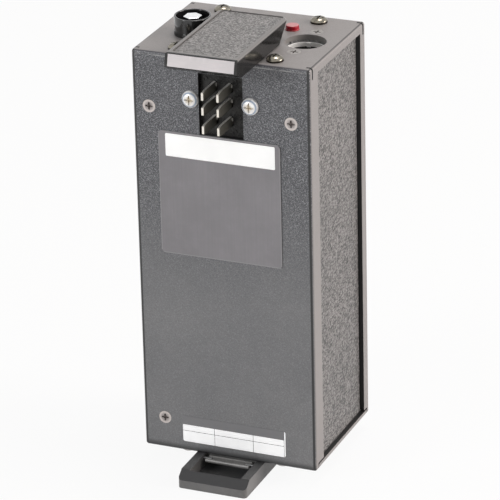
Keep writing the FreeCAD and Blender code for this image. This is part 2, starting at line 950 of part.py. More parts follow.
def latch_bracket():
    """Plate on the roof with two ears that reach back to the hinge pin."""
    outer = ear_outer()
    y0, y1 = bracket_span()
    centre = hinge_centre()
    arm_low = centre.z - ear_radius
    arm_front = centre.y - heel_swing()
    floor = roof_z + bracket_wall
    pieces = [block(latch_shift - outer, latch_shift + outer, y0, y1, roof_z, floor)]
    for x0 in (latch_shift - outer, latch_shift + outer - ear_wall):
        pieces.append(prism([
            (x0, y0, roof_z), (x0, y0, floor), (x0, centre.y, centre.z + ear_radius),
            (x0, centre.y, arm_low), (x0, arm_front, arm_low), (x0, arm_front, roof_z),
        ], Vector(ear_wall, 0, 0)))
        pieces.append(rod(ear_radius, Vector(x0, centre.y, centre.z), right, ear_wall))
    cuts = [rod(pin_radius + laid_gap, centre - right * case_width, right, 2 * case_width)]
    for x, y in bracket_screw_places():
        cuts.append(turned(screw_hole(bracket_wall + 1), Vector(x, y, floor), up))
    return fuse(pieces).cut(cuts)


def bracket_screws():
    """Screws from inside the case, up through the roof into the bracket."""
    screw = pan_screw(pan_wall + bracket_wall - laid_gap)
    return [turned(screw, Vector(x, y, inner_roof), down) for x, y in bracket_screw_places()]


def latch_spring():
    """Torsion spring round the pin, one leg on the bracket and one under the cover."""
    turns = latch_spring_turns + 0.5
    start = hinge_centre() - right * (latch_spring_pitch * turns / 2)
    start = start + right * (latch_spring_pitch / 4)
    return coil_spring("latch spring", start, latch_spring_radius, latch_spring_pitch, -math.pi / 2,
                       turns, latch_spring_wire, "x", latch_spring_leg)


# Round socket

def socket_screw_rows():
    return [front_y + socket_y - socket_screw_reach, front_y + socket_y + socket_screw_reach]


def socket_top():
    return Vector(socket_x, front_y + socket_y, roof_z)


def socket_shell():
    """Deep round shell under the roof, with a flange that takes two screws."""
    seat = inner_roof
    centre = socket_top()
    half = socket_flange_width / 2
    reach = socket_screw_reach + socket_head_radius + 1
    ears = block(socket_x - half, socket_x + half, centre.y - reach, centre.y + reach,
                 seat - socket_flange_wall, seat)
    uprights = [edge for edge in ears.Edges if edge.BoundBox.ZLength > socket_flange_wall / 2]
    ears = ears.makeFillet(socket_head_radius, uprights)
    rim = rod(socket_radius + socket_wall + socket_flange_rim, centre + down * pan_wall, down,
              socket_flange_wall)
    barrel = rod(socket_radius + socket_wall, centre + down * pan_wall, down, socket_depth - pan_wall)
    bore = rod(socket_radius, centre + up, down, socket_depth + 2)
    cuts = [bore]
    half_key = socket_key_width / 2
    notch_reach = socket_radius + socket_notch_depth
    notch_height = socket_ring_depth - pan_wall + fit_gap
    for turn in socket_notch_turns:
        notch = block(0, notch_reach, -half_key, half_key, -socket_ring_depth, 0)
        notch.rotate(Vector(0, 0, 0), up, turn)
        notch.translate(centre)
        cuts.append(notch.common(rod(notch_reach, centre + down * pan_wall, down, notch_height)))
    for y in socket_screw_rows():
        cuts.append(turned(screw_hole(pan_wall + socket_flange_wall + 1), Vector(socket_x, y, roof_z), up))
    return fuse([ears, rim, barrel]).cut(cuts)


def socket_ring():
    """Bright band inside the shell with one key tab."""
    centre = socket_top()
    top = centre + down * socket_ring_depth
    outer = socket_radius - pin_gap
    inner = outer - socket_ring_wall
    band = tube(outer, inner, top, down, socket_ring_height)
    half = socket_key_width / 2
    key = block(-half, half, inner - socket_key_reach, inner + socket_ring_wall / 2, -socket_ring_height, 0)
    key.rotate(Vector(0, 0, 0), up, socket_key_turn)
    key.translate(top)
    return fuse([band, key])


def socket_insert():
    """Dark insulating cup that carries the contacts."""
    centre = socket_top()
    outer = socket_radius - pin_gap
    inner = outer - socket_ring_wall
    rim = tube(outer, inner, centre + down * (socket_ring_depth + socket_ring_height), down,
               socket_floor_depth - socket_ring_depth - socket_ring_height)
    floor = rod(outer, centre + down * socket_floor_depth, down, socket_depth - socket_floor_depth)
    cuts = []
    for x, y in contact_places():
        cuts.append(rod(contact_radius + laid_gap, Vector(x, y, roof_z), down, socket_depth + 1))
    return fuse([rim, floor]).cut(cuts)


def contact_places():
    places = []
    for index in range(contact_count):
        angle = 2 * math.pi * index / contact_count + math.pi / 2
        places.append((socket_x + contact_circle * math.cos(angle),
                       front_y + socket_y + contact_circle * math.sin(angle)))
    return places


def socket_contacts():
    contacts = []
    for x, y in contact_places():
        top = Vector(x, y, roof_z - socket_floor_depth)
        length = socket_depth - socket_floor_depth + contact_tail
        body = rod(contact_radius, top, down, length)
        contacts.append(body.cut(rod(contact_bore, top, down, length - contact_tail)))
    return contacts


def socket_screws():
    screw = flat_screw(socket_head_radius, pan_wall + socket_flange_wall + screw_tip)
    return [turned(screw, Vector(socket_x, y, roof_z), up) for y in socket_screw_rows()]


# Push button

def button_seat():
    return Vector(button_x, front_y + button_y, roof_z)


def button_collar():
    seat = button_seat()
    body = rod(collar_radius, seat, up, collar_rise)
    lip = rod(collar_radius + collar_lip, seat + up * (collar_rise - collar_lip_height), up,
              collar_lip_height)
    base = rod(collar_radius + collar_lip, seat, up, collar_base_height)
    neck = rod(collar_neck, seat, down, collar_neck_length)
    well = rod(collar_radius - collar_wall, seat + up * collar_floor, up, collar_rise)
    bore = rod(stem_radius + pin_gap, seat + down * (collar_neck_length + 1), up,
               collar_neck_length + collar_rise)
    collar = fuse([body, lip, base, neck]).cut([well, bore])
    rim = [edge for edge in collar.Edges if edge.BoundBox.ZMin > seat.z + collar_rise - 0.01]
    return collar.makeFillet(collar_edge, rim)


def button_nut():
    piece = nut(collar_nut_across, collar_nut_height, collar_neck + pin_gap)
    return turned(piece, button_seat() + down * pan_wall, down)


def cap_base():
    return collar_rise - cap_drop - cap_height


def button_cap():
    """Six-sided cap with a skirt round its spring and a stem down to the switch."""
    seat = button_seat()
    cap = hex_prism(cap_width, cap_height)
    top_edges = [edge for edge in cap.Edges if edge.BoundBox.ZMin > cap_height - 0.01]
    cap = cap.makeFillet(cap_edge, top_edges)
    hollow = rod(cap_width / 2 - cap_wall, Vector(0, 0, -1), up, cap_height - cap_top_wall + 1)
    cap = cap.cut(hollow)
    cap.translate(seat + up * cap_base())
    rise = cap_base() + cap_height - cap_top_wall / 2
    stem = rod(stem_radius, seat + up * rise, down, rise + collar_neck_length - travel_gap)
    return fuse([cap, stem])


def button_spring():
    """Compression spring between the collar's floor and the cap."""
    seat = button_seat()
    low = collar_floor + button_spring_wire / 2 + laid_gap
    high = cap_base() + cap_height - cap_top_wall - button_spring_wire / 2 - laid_gap
    pitch = (high - low) / button_spring_turns
    return coil_spring("button spring", seat + up * low, button_spring_radius, pitch, 0.0,
                       button_spring_turns, button_spring_wire, "z", 0)


def switch_body():
    """Switch below the collar, with a well for the stem's travel."""
    seat = button_seat()
    high = roof_z - collar_neck_length
    body = block(seat.x - switch_width / 2, seat.x + switch_width / 2, seat.y - switch_depth / 2,
                 seat.y + switch_depth / 2, high - switch_height, high)
    well = rod(stem_radius + 2 * fit_gap, Vector(seat.x, seat.y, high + 1), down,
               1 + button_travel + travel_gap)
    return body.cut(well)


def switch_lugs():
    seat = button_seat()
    high = roof_z - collar_neck_length - switch_height
    lugs = []
    for offset in (-switch_width / 4, switch_width / 4):
        x = seat.x + offset
        lugs.append(block(x - switch_lug_width / 2, x + switch_lug_width / 2,
                          seat.y - switch_lug_wall / 2, seat.y + switch_lug_wall / 2,
                          high - switch_lug_length, high))
    return lugs


# Signal lamp

def lamp_seat():
    return Vector(lamp_x, front_y + lamp_y, roof_z)


def lamp_lens():
    """Low red lens with a flat top on a thin flange, hollow for the bulb."""
    seat = lamp_seat()
    flange = rod(lamp_flange_radius, seat, up, lamp_flange_height)
    head = rod(lamp_radius, seat + down * pan_wall, up, pan_wall + lamp_rise)
    rim = [edge for edge in head.Edges if edge.BoundBox.ZMin > seat.z + lamp_rise - laid_gap]
    head = head.makeFillet(lamp_edge, rim)
    well = rod(lamp_radius - lamp_lens_wall, seat + down * (pan_wall + 1), up,
               pan_wall + 1 + lamp_rise - lamp_top_wall)
    return fuse([flange, head]).cut(well)


def lamp_holder():
    """Sleeve under the roof, pressed up to the lens."""
    seat = lamp_seat() + down * pan_wall
    sleeve = rod(lamp_holder_radius, seat, down, lamp_holder_length)
    return sleeve.cut(rod(bulb_radius + pin_gap, seat, down, lamp_holder_length))


def lamp_bulb():
    """Bulb that stands in the sleeve and ends just under the top of the lens."""
    start = lamp_seat() + down * (pan_wall + lamp_holder_length / 2)
    length = lamp_holder_length / 2 + pan_wall + lamp_rise - lamp_top_wall - fit_gap
    return rod(bulb_radius, start, up, length)


# Foot

def foot_hook():
    """Rail under the case whose front end is a hook with an open pocket."""
    half = foot_width / 2
    nose = front_y - foot_overhang
    rear = nose + foot_length
    outline = [
        (-half, nose, 0), (-half, nose, foot_front_height), (-half, nose + foot_ramp, foot_height),
        (-half, rear, foot_height), (-half, rear, 0),
    ]
    rail = prism(outline, Vector(foot_width, 0, 0))
    corners = []
    for edge in rail.Edges:
        box = edge.BoundBox
        if box.ZLength > 1 and max(box.XLength, box.YLength) < 0.01:
            corners.append(edge)
    rail = rail.makeFillet(foot_corner, corners)
    pocket = block(-pocket_width / 2, pocket_width / 2, front_y - pocket_front, front_y + pocket_rear,
                   foot_height - pocket_depth, foot_height + 1)
    pin_z = foot_height - bar_drop - bar_height / 2
    pin_y = front_y - bar_front + bar_depth / 2
    reach = pocket_width / 2 + bar_pin_reach
    pins = rod(bar_pin_radius + laid_gap, Vector(-reach, pin_y, pin_z), right, 2 * reach)
    cuts = [pocket, pins]
    for x, y in foot_screw_places():
        cuts.append(turned(foot_screw_hole(), Vector(x, y, 0), down))
    return rail.cut(cuts)


def foot_screw_places():
    rear = front_y - foot_overhang + foot_length
    rows = (front_y + foot_screw_front, rear - foot_screw_rear)
    return [(side * (foot_width / 2 - foot_screw_inset), y) for side in (-1, 1) for y in rows]


def foot_screw_hole():
    """From the underside: a sunk head well below the rest face, then the shank."""
    hole = sunk_hole(flat_head_radius, foot_height + 1)
    hole.translate(Vector(0, 0, -foot_screw_sink))
    mouth = rod(flat_head_radius + fit_gap, Vector(0, 0, 1), down, 1 + foot_screw_sink)
    return fuse([hole, mouth])


def foot_screws():
    screw = flat_screw(flat_head_radius, foot_height - foot_screw_sink + pan_wall)
    return [turned(screw, Vector(x, y, foot_screw_sink), down) for x, y in foot_screw_places()]


def foot_bar():
    """Cross bar in the pocket with a shallow groove along its top."""
    half = bar_width / 2
    y0 = front_y - bar_front
    high = foot_height - bar_drop
    bar = block(-half, half, y0, y0 + bar_depth, high - bar_height, high)
    long_edges = [edge for edge in bar.Edges if edge.BoundBox.XLength > bar_width - 0.1]
    bar = bar.makeFillet(bar_edge, long_edges)
    middle = y0 + bar_depth / 2
    groove = block(-half - 1, half + 1, middle - bar_groove_width / 2, middle + bar_groove_width / 2,
                   high - bar_groove, high + 1)
    bores = [rod(bar_pin_radius + laid_gap, Vector(side * (half + 1), middle, high - bar_height / 2),
                 right * -side, bar_bore + 1) for side in (-1, 1)]
    return bar.cut([groove] + bores)


def foot_pins():
    """Two small pins that carry the bar at its ends."""
    middle = front_y - bar_front + bar_depth / 2
    z = foot_height - bar_drop - bar_height / 2
    start = bar_width / 2 - bar_bore
    length = pocket_width / 2 + bar_pin_reach - start - laid_gap
    return [rod(bar_pin_radius, Vector(side * start, middle, z), right * side, length) for side in (-1, 1)]


# Battery

def cell_room():
    """Room for a layer of cells between the side panels and between the tray's lips."""
    return 2 * (bay_x - fit_gap), bay_rear - bay_front - 2 * (fit_gap + tray_wall)


def cell_radius():
    across, deep = cell_room()
    widest = (across - (cell_columns - 1) * cell_gap) / (2 * cell_columns)
    deepest = (deep - (cell_rows - 1) * cell_gap) / (2 * cell_rows)
    return min(widest, deepest)


def cell_grid():
    """Rows of centres of the upright cells in one layer, spread over the room."""
    across, deep = cell_room()
    half_x = across / 2 - cell_radius()
    half_y = deep / 2 - cell_radius() - laid_gap
    rows = []
    for row in range(cell_rows):
        y = half_y * (2 * row / (cell_rows - 1) - 1)
        rows.append([(half_x * (2 * column / (cell_columns - 1) - 1), y) for column in range(cell_columns)])
    return rows


def tray_floor():
    return inner_base + side_wall + fit_gap


def deck_floor():
    return roof_z - deck_drop


def battery_top():
    return deck_floor() - pad_wall


def layer_pitch():
    return (battery_top() - tray_floor() - tray_wall) / cell_layers


def cell_height():
    return layer_pitch() - cell_button_height - 2 * link_wall


def layer_floor(layer):
    return tray_floor() + tray_wall + link_wall + layer * layer_pitch()


def battery_tray():
    """Floor under the cells with a lip along its front and rear."""
    half = bay_x - fit_gap
    y0 = bay_front + fit_gap
    y1 = bay_rear - fit_gap
    low = tray_floor()
    floor = block(-half, half, y0, y1, low, low + tray_wall)
    front_lip = block(-half, half, y0, y0 + tray_wall, low, low + tray_wall + tray_rise)
    rear_lip = block(-half, half, y1 - tray_wall, y1, low, low + tray_wall + tray_rise)
    return fuse([floor, front_lip, rear_lip])


def battery_cells():
    cells = []
    for layer in range(cell_layers):
        for row in cell_grid():
            for x, y in row:
                base = Vector(x, y, layer_floor(layer))
                can = rod(cell_radius(), base, up, cell_height())
                button = rod(cell_button_radius, base + up * cell_height(), up, cell_button_height)
                cells.append(fuse([can, button]))
    return cells


def link(first, last, z):
    """Metal strap that lies over two neighbouring cells."""
    half = link_width / 2
    xs = sorted([first[0], last[0]])
    ys = sorted([first[1], last[1]])
    return block(xs[0] - half, xs[1] + half, ys[0] - half, ys[1] + half, z, z + link_wall)


def cell_links():
    """Straps that join the cells in series: rows above, columns below."""
    links = []
    rows = cell_grid()
    for layer in range(cell_layers):
        low = layer_floor(layer) - link_wall
        high = layer_floor(layer) + cell_height() + cell_button_height
        for column in range(cell_columns):
            links.append(link(rows[0][column], rows[-1][column], high))
        if layer > 0:
            continue
        for column in range(cell_columns - 1):
            row = rows[column % cell_rows]
            links.append(link(row[column], row[column + 1], low))
    return links


def battery_pad():
    half = bay_x - fit_gap
    return block(-half, half, bay_front + fit_gap, bay_rear - fit_gap, battery_top(),
                 battery_top() + pad_wall)


def deck_plate():
    """Metal deck over the battery with turned-up sides."""
    half = bay_x - fit_gap
    y0 = bay_front + fit_gap
    y1 = bay_rear - fit_gap
    low = deck_floor()
    pieces = [block(-half, half, y0, y1, low, low + deck_wall)]
    for side in (-1, 1):
        x0, x1 = sorted([side * half, side * (half - deck_wall)])
        pieces.append(block(x0, x1, y0, y1, low, low + deck_wall + deck_lip))
    return fuse(pieces)


# Converter

def board_floor():
    return deck_floor() + deck_wall + board_rise


def board_top():
    return board_floor() + board_wall


def standoff_places():
    return [(x_side * (board_half_x - standoff_inset), y_side * (board_half_y - standoff_inset))
            for x_side in (-1, 1) for y_side in (-1, 1)]


def converter_board():
    board = block(-board_half_x, board_half_x, -board_half_y, board_half_y, board_floor(), board_top())
    return board.cut([rod(standoff_hole, Vector(x, y, board_floor() - 1), up, board_wall + 2)
                      for x, y in standoff_places()])


def board_standoffs():
    low = deck_floor() + deck_wall
    return [tube(standoff_radius, standoff_hole, Vector(x, y, low), up, board_rise)
            for x, y in standoff_places()]


def board_screws():
    screws = []
    radius = standoff_hole - pin_gap
    for x, y in standoff_places():
        head = rod(standoff_radius, Vector(x, y, board_top()), up, board_wall)
        shank = rod(radius, Vector(x, y, board_floor() - board_rise / 2), up, board_wall + board_rise / 2)
        screws.append(fuse([head, shank]))
    return screws


def transformer_core():
    """Core with two windows beside its middle leg."""
    z0 = board_top()
    y0 = core_y - core_depth / 2
    y1 = core_y + core_depth / 2
    core = block(core_x - core_width / 2, core_x + core_width / 2, y0, y1, z0, z0 + core_height)
    for side in (-1, 1):
        x0, x1 = sorted([core_x + side * core_leg, core_x + side * (core_width / 2 - core_leg / 2)])
        core = core.cut(block(x0, x1, y0 - 1, y1 + 1, z0 + core_leg, z0 + core_height - core_leg))
    return core


def transformer_winding():
    """Wound bobbin round the middle leg, proud of the core in front and behind."""
    z0 = board_top() + core_leg + winding_gap
    z1 = board_top() + core_height - core_leg - winding_gap
    outer = core_width / 2 - core_leg / 2 - winding_gap
    half_y = core_depth / 2 + winding_bulge
    coil = block(core_x - outer, core_x + outer, core_y - half_y, core_y + half_y, z0, z1)
    uprights = [edge for edge in coil.Edges if edge.BoundBox.ZLength > 1]
    coil = coil.makeFillet(winding_bulge * winding_round, uprights)
    hole_x = core_leg + fit_gap
    hole_y = core_depth / 2 + fit_gap
    return coil.cut(block(core_x - hole_x, core_x + hole_x, core_y - hole_y, core_y + hole_y,
                          z0 - 1, z1 + 1))


def storage_capacitors():
    cans = []
    for side in (-1, 1):
        x = capacitor_x + side * (capacitor_radius + capacitor_gap / 2)
        base = Vector(x, capacitor_y, board_top())
        can = rod(capacitor_radius, base, up, capacitor_height)
        groove = tube(capacitor_radius + 1, capacitor_radius - capacitor_bead,
                      base + up * capacitor_bead_rise, up, capacitor_bead_height)
        cans.append(can.cut(groove))
    return cans


def heat_sink():
    z0 = board_top()
    half = sink_width / 2
    rear = sink_front + sink_wall
    pieces = [block(-half, half, sink_front, rear, z0, z0 + sink_height)]
    pitch = (sink_width - sink_fin_wall) / (sink_fin_count - 1)
    for index in range(sink_fin_count):
        x = -half + index * pitch
        pieces.append(block(x, x + sink_fin_wall, rear, rear + sink_fin_depth, z0, z0 + sink_height))
    return fuse(pieces)


def transistors():
    """Two flat bodies against the heat sink, each on three legs."""
    low = board_top() + sink_height / 3
    middle = sink_front - transistor_wall / 2
    half_leg = transistor_leg / 2
    bodies = []
    for side in (-1, 1):
        x = side * (sink_width / 2 - transistor_margin)
        pieces = [block(x - transistor_width / 2, x + transistor_width / 2, sink_front - transistor_wall,
                        sink_front, low, low + transistor_height)]
        for step in (-1, 0, 1):
            leg_x = x + step * transistor_leg_pitch
            pieces.append(block(leg_x - half_leg, leg_x + half_leg, middle - half_leg, middle + half_leg,
                                board_top(), low))
        bodies.append(fuse(pieces))
    return bodies


def fuse_axis():
    return board_top() + clip_wall + fuse_radius


def fuse_link():
    start = Vector(fuse_x - fuse_length / 2, fuse_y, fuse_axis())
    return rod(fuse_radius, start, right, fuse_length)


def fuse_clips():
    """Spring clips under the two ends of the fuse."""
    clips = []
    for side in (-1, 1):
        x = fuse_x + side * (fuse_length - clip_width) / 2
        outer = fuse_radius + clip_wall
        body = block(x - clip_width / 2, x + clip_width / 2, fuse_y - outer, fuse_y + outer,
                     board_top(), fuse_axis() + fuse_radius / 2)
        gap = rod(fuse_radius, Vector(x - clip_width, fuse_y, fuse_axis()), right, 2 * clip_width)
        half_mouth = fuse_radius * clip_mouth
        mouth = block(x - clip_width, x + clip_width, fuse_y - half_mouth, fuse_y + half_mouth,
                      fuse_axis(), fuse_axis() + fuse_radius)
        clips.append(body.cut([gap, mouth]))
    return clips


def export(name, shape):
    """Writes one node, which may be a group of separate solids."""
    solids = shape if isinstance(shape, list) else [shape]
    solids = [solid for piece in solids for solid in piece.Solids]
    for solid in solids:
        if not solid.isValid() or solid.Volume <= 0:
            print(f"{name}: bad solid")
    group = solids[0] if len(solids) == 1 else Part.makeCompound(solids)
    group.exportStep(f"parts/{name}.step")
    print(f"{name}: {len(solids)} solids, {sum(solid.Volume for solid in solids):.1f} mm3")


def main():
    os.makedirs("parts", exist_ok=True)
    shell = case_shell()
    export("front_panel", front_panel(shell))
    export("rear_panel", rear_panel(shell))
    export("top_panel", top_panel(shell))
    export("bottom_panel", bottom_panel(shell))
    export("side_panel_left", side_panel(-1))
    export("side_panel_right", side_panel(1))
    export("side_skin_left", side_skin(-1))
    export("side_skin_right", side_skin(1))
    export("front_screws", front_screws())
    export("rear_screws", rear_screws())
    export("top_screws", top_screws())
    export("bottom_screws", bottom_screws())
    export("plug_block", plug_block())
    export("plug_blades", plug_blades())
    export("plug_screws", plug_screws())
    export("plug_nuts", plug_nuts())
    export("face_plate", face_plate())
    export("plate_strip", plate_strip())
    export("form_label", form_label())
    export("latch_cover", latch_cover())
    export("latch_inset", latch_inset())
    export("latch_nose_plate", latch_nose_plate())
    export("latch_pin", latch_pin())
    export("latch_bracket", latch_bracket())
    export("bracket_screws", bracket_screws())
    export("latch_spring", latch_spring())
    export("socket_shell", socket_shell())
    export("socket_ring", socket_ring())
    export("socket_insert", socket_insert())
    export("socket_contacts", socket_contacts())
    export("socket_screws", socket_screws())
    export("button_collar", button_collar())
    export("button_nut", button_nut())
    export("button_cap", button_cap())
    export("button_spring", button_spring())
    export("switch_body", switch_body())
    export("switch_lugs", switch_lugs())
    export("lamp_lens", lamp_lens())
    export("lamp_holder", lamp_holder())
    export("lamp_bulb", lamp_bulb())
    export("foot_hook", foot_hook())
    export("foot_screws", foot_screws())
    export("foot_bar", foot_bar())
    export("foot_pins", foot_pins())
    export("battery_tray", battery_tray())
    export("battery_cells", battery_cells())
    export("cell_links", cell_links())
    export("battery_pad", battery_pad())
    export("deck_plate", deck_plate())
    export("converter_board", converter_board())
    export("board_standoffs", board_standoffs())
    export("board_screws", board_screws())
    export("transformer_core", transformer_core())
    export("transformer_winding", transformer_winding())
    export("storage_capacitors", storage_capacitors())
    export("heat_sink", heat_sink())
    export("transistors", transistors())
    export("fuse_link", fuse_link())
    export("fuse_clips", fuse_clips())


main()
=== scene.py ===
import math

import bmesh
import bpy
from mathutils import Matrix, Vector, noise


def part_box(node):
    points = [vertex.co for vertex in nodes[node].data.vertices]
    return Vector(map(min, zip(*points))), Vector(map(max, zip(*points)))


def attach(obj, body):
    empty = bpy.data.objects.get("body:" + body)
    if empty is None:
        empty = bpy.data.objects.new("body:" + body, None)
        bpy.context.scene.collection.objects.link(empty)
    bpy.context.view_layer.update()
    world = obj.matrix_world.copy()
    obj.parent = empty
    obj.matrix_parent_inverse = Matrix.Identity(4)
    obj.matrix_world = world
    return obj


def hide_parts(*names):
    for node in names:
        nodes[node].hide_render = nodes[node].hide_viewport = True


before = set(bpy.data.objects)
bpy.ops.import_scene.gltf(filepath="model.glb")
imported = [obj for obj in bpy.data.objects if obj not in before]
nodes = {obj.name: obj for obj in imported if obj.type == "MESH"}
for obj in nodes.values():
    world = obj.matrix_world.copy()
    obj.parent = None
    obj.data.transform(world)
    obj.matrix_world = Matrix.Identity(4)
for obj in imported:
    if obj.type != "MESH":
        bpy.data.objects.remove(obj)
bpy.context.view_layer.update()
print("frame loaded:", len(nodes), "nodes")

scene = bpy.context.scene
scene.view_settings.view_transform = "Standard"
mm = 0.001

# Planes of the case, read from the frame, and how deep its rear flange folds back
frontLow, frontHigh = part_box("front_panel")
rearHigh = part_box("rear_panel")[1]
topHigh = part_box("top_panel")[1]
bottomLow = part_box("bottom_panel")[0]
caseLow = Vector((frontLow.x, frontLow.y, bottomLow.z))
caseHigh = Vector((frontHigh.x, rearHigh.y, topHigh.z))
returnDepth = 2.3 * mm


# Nodes of a shader tree: values are numbers, colours or sockets to link
def add(tree, kind, values=None, **settings):
    node = tree.nodes.new(kind)
    for key, value in settings.items():
        setattr(node, key, value)
    for key, value in (values or {}).items():
        put(tree, node.inputs[key], value)
    return node


def put(tree, socket, value):
    if isinstance(value, bpy.types.NodeSocket):
        tree.links.new(value, socket)
    else:
        socket.default_value = value


def calc(tree, operation, a, b=0.0, clamp=False):
    node = add(tree, "ShaderNodeMath", {0: a, 1: b}, operation=operation, use_clamp=clamp)
    return node.outputs[0]


def plus(tree, a, b):
    return calc(tree, "ADD", a, b)


def minus(tree, a, b):
    return calc(tree, "SUBTRACT", a, b)


def both(tree, *masks):
    result = masks[0]
    for mask in masks[1:]:
        result = calc(tree, "MULTIPLY", result, mask)
    return result


def inverse(tree, mask):
    return minus(tree, 1.0, mask)


def away(tree, value, centre):
    return calc(tree, "ABSOLUTE", minus(tree, value, centre))


def above(tree, value, edge):
    return calc(tree, "GREATER_THAN", value, edge)


def under(tree, value, edge):
    return calc(tree, "LESS_THAN", value, edge)


def rise(tree, value, low, high, outLow=0.0, outHigh=1.0):
    node = add(tree, "ShaderNodeMapRange", {0: value, 1: low, 2: high, 3: outLow, 4: outHigh},
               interpolation_type="SMOOTHSTEP")
    return node.outputs[0]


def mix(tree, share, a, b):
    return add(tree, "ShaderNodeMix", {0: share, 6: a, 7: b}, data_type="RGBA").outputs[2]


def vectorCalc(tree, operation, a, b=(0, 0, 0), result=0):
    node = add(tree, "ShaderNodeVectorMath", {0: a, 1: b}, operation=operation)
    return node.outputs[result]


def noiseAt(tree, vector, scale, detail=2.0, roughness=0.5, warp=0.0):
    node = add(tree, "ShaderNodeTexNoise", {"Vector": vector, "Scale": scale, "Detail": detail,
                                            "Roughness": roughness, "Distortion": warp})
    return node.outputs["Fac"]


def objectPlace(tree):
    return add(tree, "ShaderNodeTexCoord").outputs["Object"]


def axes(tree, vector=None):
    split = add(tree, "ShaderNodeSeparateXYZ", {0: vector or objectPlace(tree)})
    return split.outputs[0], split.outputs[1], split.outputs[2]


def facing(tree, kind="Normal"):
    return axes(tree, add(tree, "ShaderNodeNewGeometry").outputs[kind])


def rgb(grey, tint=(1.0, 1.0, 1.0)):
    return (grey * tint[0], grey * tint[1], grey * tint[2], 1.0)


def startGroup(name, inputs, outputs):
    tree = bpy.data.node_groups.new(name, "ShaderNodeTree")
    for label, kind, default in inputs:
        socket = tree.interface.new_socket(label, in_out="INPUT", socket_type=kind)
        socket.default_value = default
    for label in outputs:
        tree.interface.new_socket(label, in_out="OUTPUT", socket_type="NodeSocketFloat")
    return tree, tree.nodes.new("NodeGroupInput"), tree.nodes.new("NodeGroupOutput")


def useGroup(tree, group, values):
    node = tree.nodes.new("ShaderNodeGroup")
    node.node_tree = group
    for key, value in values.items():
        put(tree, node.inputs[key], value)
    return node


# Wrinkle finish: fine curly ridges, and where a ridge would catch the light, a mask for a painted
# glint
wrinkleShape = {
    "detail": 1.5, "roughness": 0.5, "warp": 0.9, "middle": 0.5, "ridgeWidth": 0.11,
    "ridgeShare": 0.7, "fineScale": 2.3, "fineDetail": 1.0, "chanceScale": 0.8,
    "chanceLift": 0.12, "glintEdge": 0.66, "glintRange": 0.2, "glintSoftness": 0.08,
}


def makeWrinkleGroup(shape):
    inputs = [("Size", "NodeSocketFloat", 0.7 * mm), ("Glints", "NodeSocketFloat", 0.2)]
    tree, given, result = startGroup("wrinkle", inputs, ["Height", "Glint"])
    scale = calc(tree, "DIVIDE", 1.0, given.outputs["Size"])
    at = objectPlace(tree)
    curl = noiseAt(tree, at, scale, shape["detail"], shape["roughness"], shape["warp"])
    ridge = rise(tree, away(tree, curl, shape["middle"]), 0.0, shape["ridgeWidth"], 1.0, 0.0)
    fine = noiseAt(tree, at, both(tree, scale, shape["fineScale"]), shape["fineDetail"])
    chance = noiseAt(tree, at, both(tree, scale, shape["chanceScale"]), shape["fineDetail"])
    height = plus(tree, both(tree, ridge, shape["ridgeShare"]),
                  both(tree, fine, 1 - shape["ridgeShare"]))
    edge = minus(tree, shape["glintEdge"],
                 both(tree, given.outputs["Glints"], shape["glintRange"]))
    catch = both(tree, plus(tree, chance, shape["chanceLift"]), ridge)
    glint = rise(tree, catch, edge, plus(tree, edge, shape["glintSoftness"]))
    tree.links.new(height, result.inputs["Height"])
    tree.links.new(glint, result.inputs["Glint"])
    return tree


# Handling: broad cloudy change of tone and small smudges, from 0 to 1
handlingShape = {
    "broadSpan": (0.3, 0.7), "smallScale": 7.0, "smallDetail": 3.0, "smallRoughness": 0.6,
    "smallSpan": (0.42, 0.7),
}


def makeHandlingGroup(shape):
    inputs = [("Size", "NodeSocketFloat", 20 * mm), ("Smudge", "NodeSocketFloat", 0.4)]
    tree, given, result = startGroup("handling", inputs, ["Tone"])
    scale = calc(tree, "DIVIDE", 1.0, given.outputs["Size"])
    smudge = given.outputs["Smudge"]
    at = objectPlace(tree)
    broad = rise(tree, noiseAt(tree, at, scale), *shape["broadSpan"])
    spots = noiseAt(tree, at, both(tree, scale, shape["smallScale"]), shape["smallDetail"],
                    shape["smallRoughness"])
    small = rise(tree, spots, *shape["smallSpan"])
    tone = calc(tree, "ADD", both(tree, broad, inverse(tree, smudge)),
                both(tree, small, smudge), True)
    tree.links.new(tone, result.inputs["Tone"])
    return tree


# Brushed: fine lines along one axis, chosen by the stretch of the three axes
brushedShape = {"detail": 3.0, "roughness": 0.6, "lineSpan": (0.35, 0.65)}


def makeBrushedGroup(shape):
    inputs = [("Size", "NodeSocketFloat", 0.3 * mm),
              ("Stretch", "NodeSocketVector", (1.0, 1.0, 0.03))]
    tree, given, result = startGroup("brushed", inputs, ["Line"])
    scale = calc(tree, "DIVIDE", 1.0, given.outputs["Size"])
    at = vectorCalc(tree, "MULTIPLY", objectPlace(tree), given.outputs["Stretch"])
    line = noiseAt(tree, at, scale, shape["detail"], shape["roughness"])
    tree.links.new(line, result.inputs["Line"])
    return tree


# Case skin: how deep a point lies under the rounded outside of the case, and where the bends
# run. Bend goes from 0 on a flat face to 1 in the middle of a bend, where the way out from
# the core is longer by 0.29 of the radius than its largest part along an axis.
caseSkin = {"bendRadius": 1.2 * mm, "bendMiddle": 0.29}


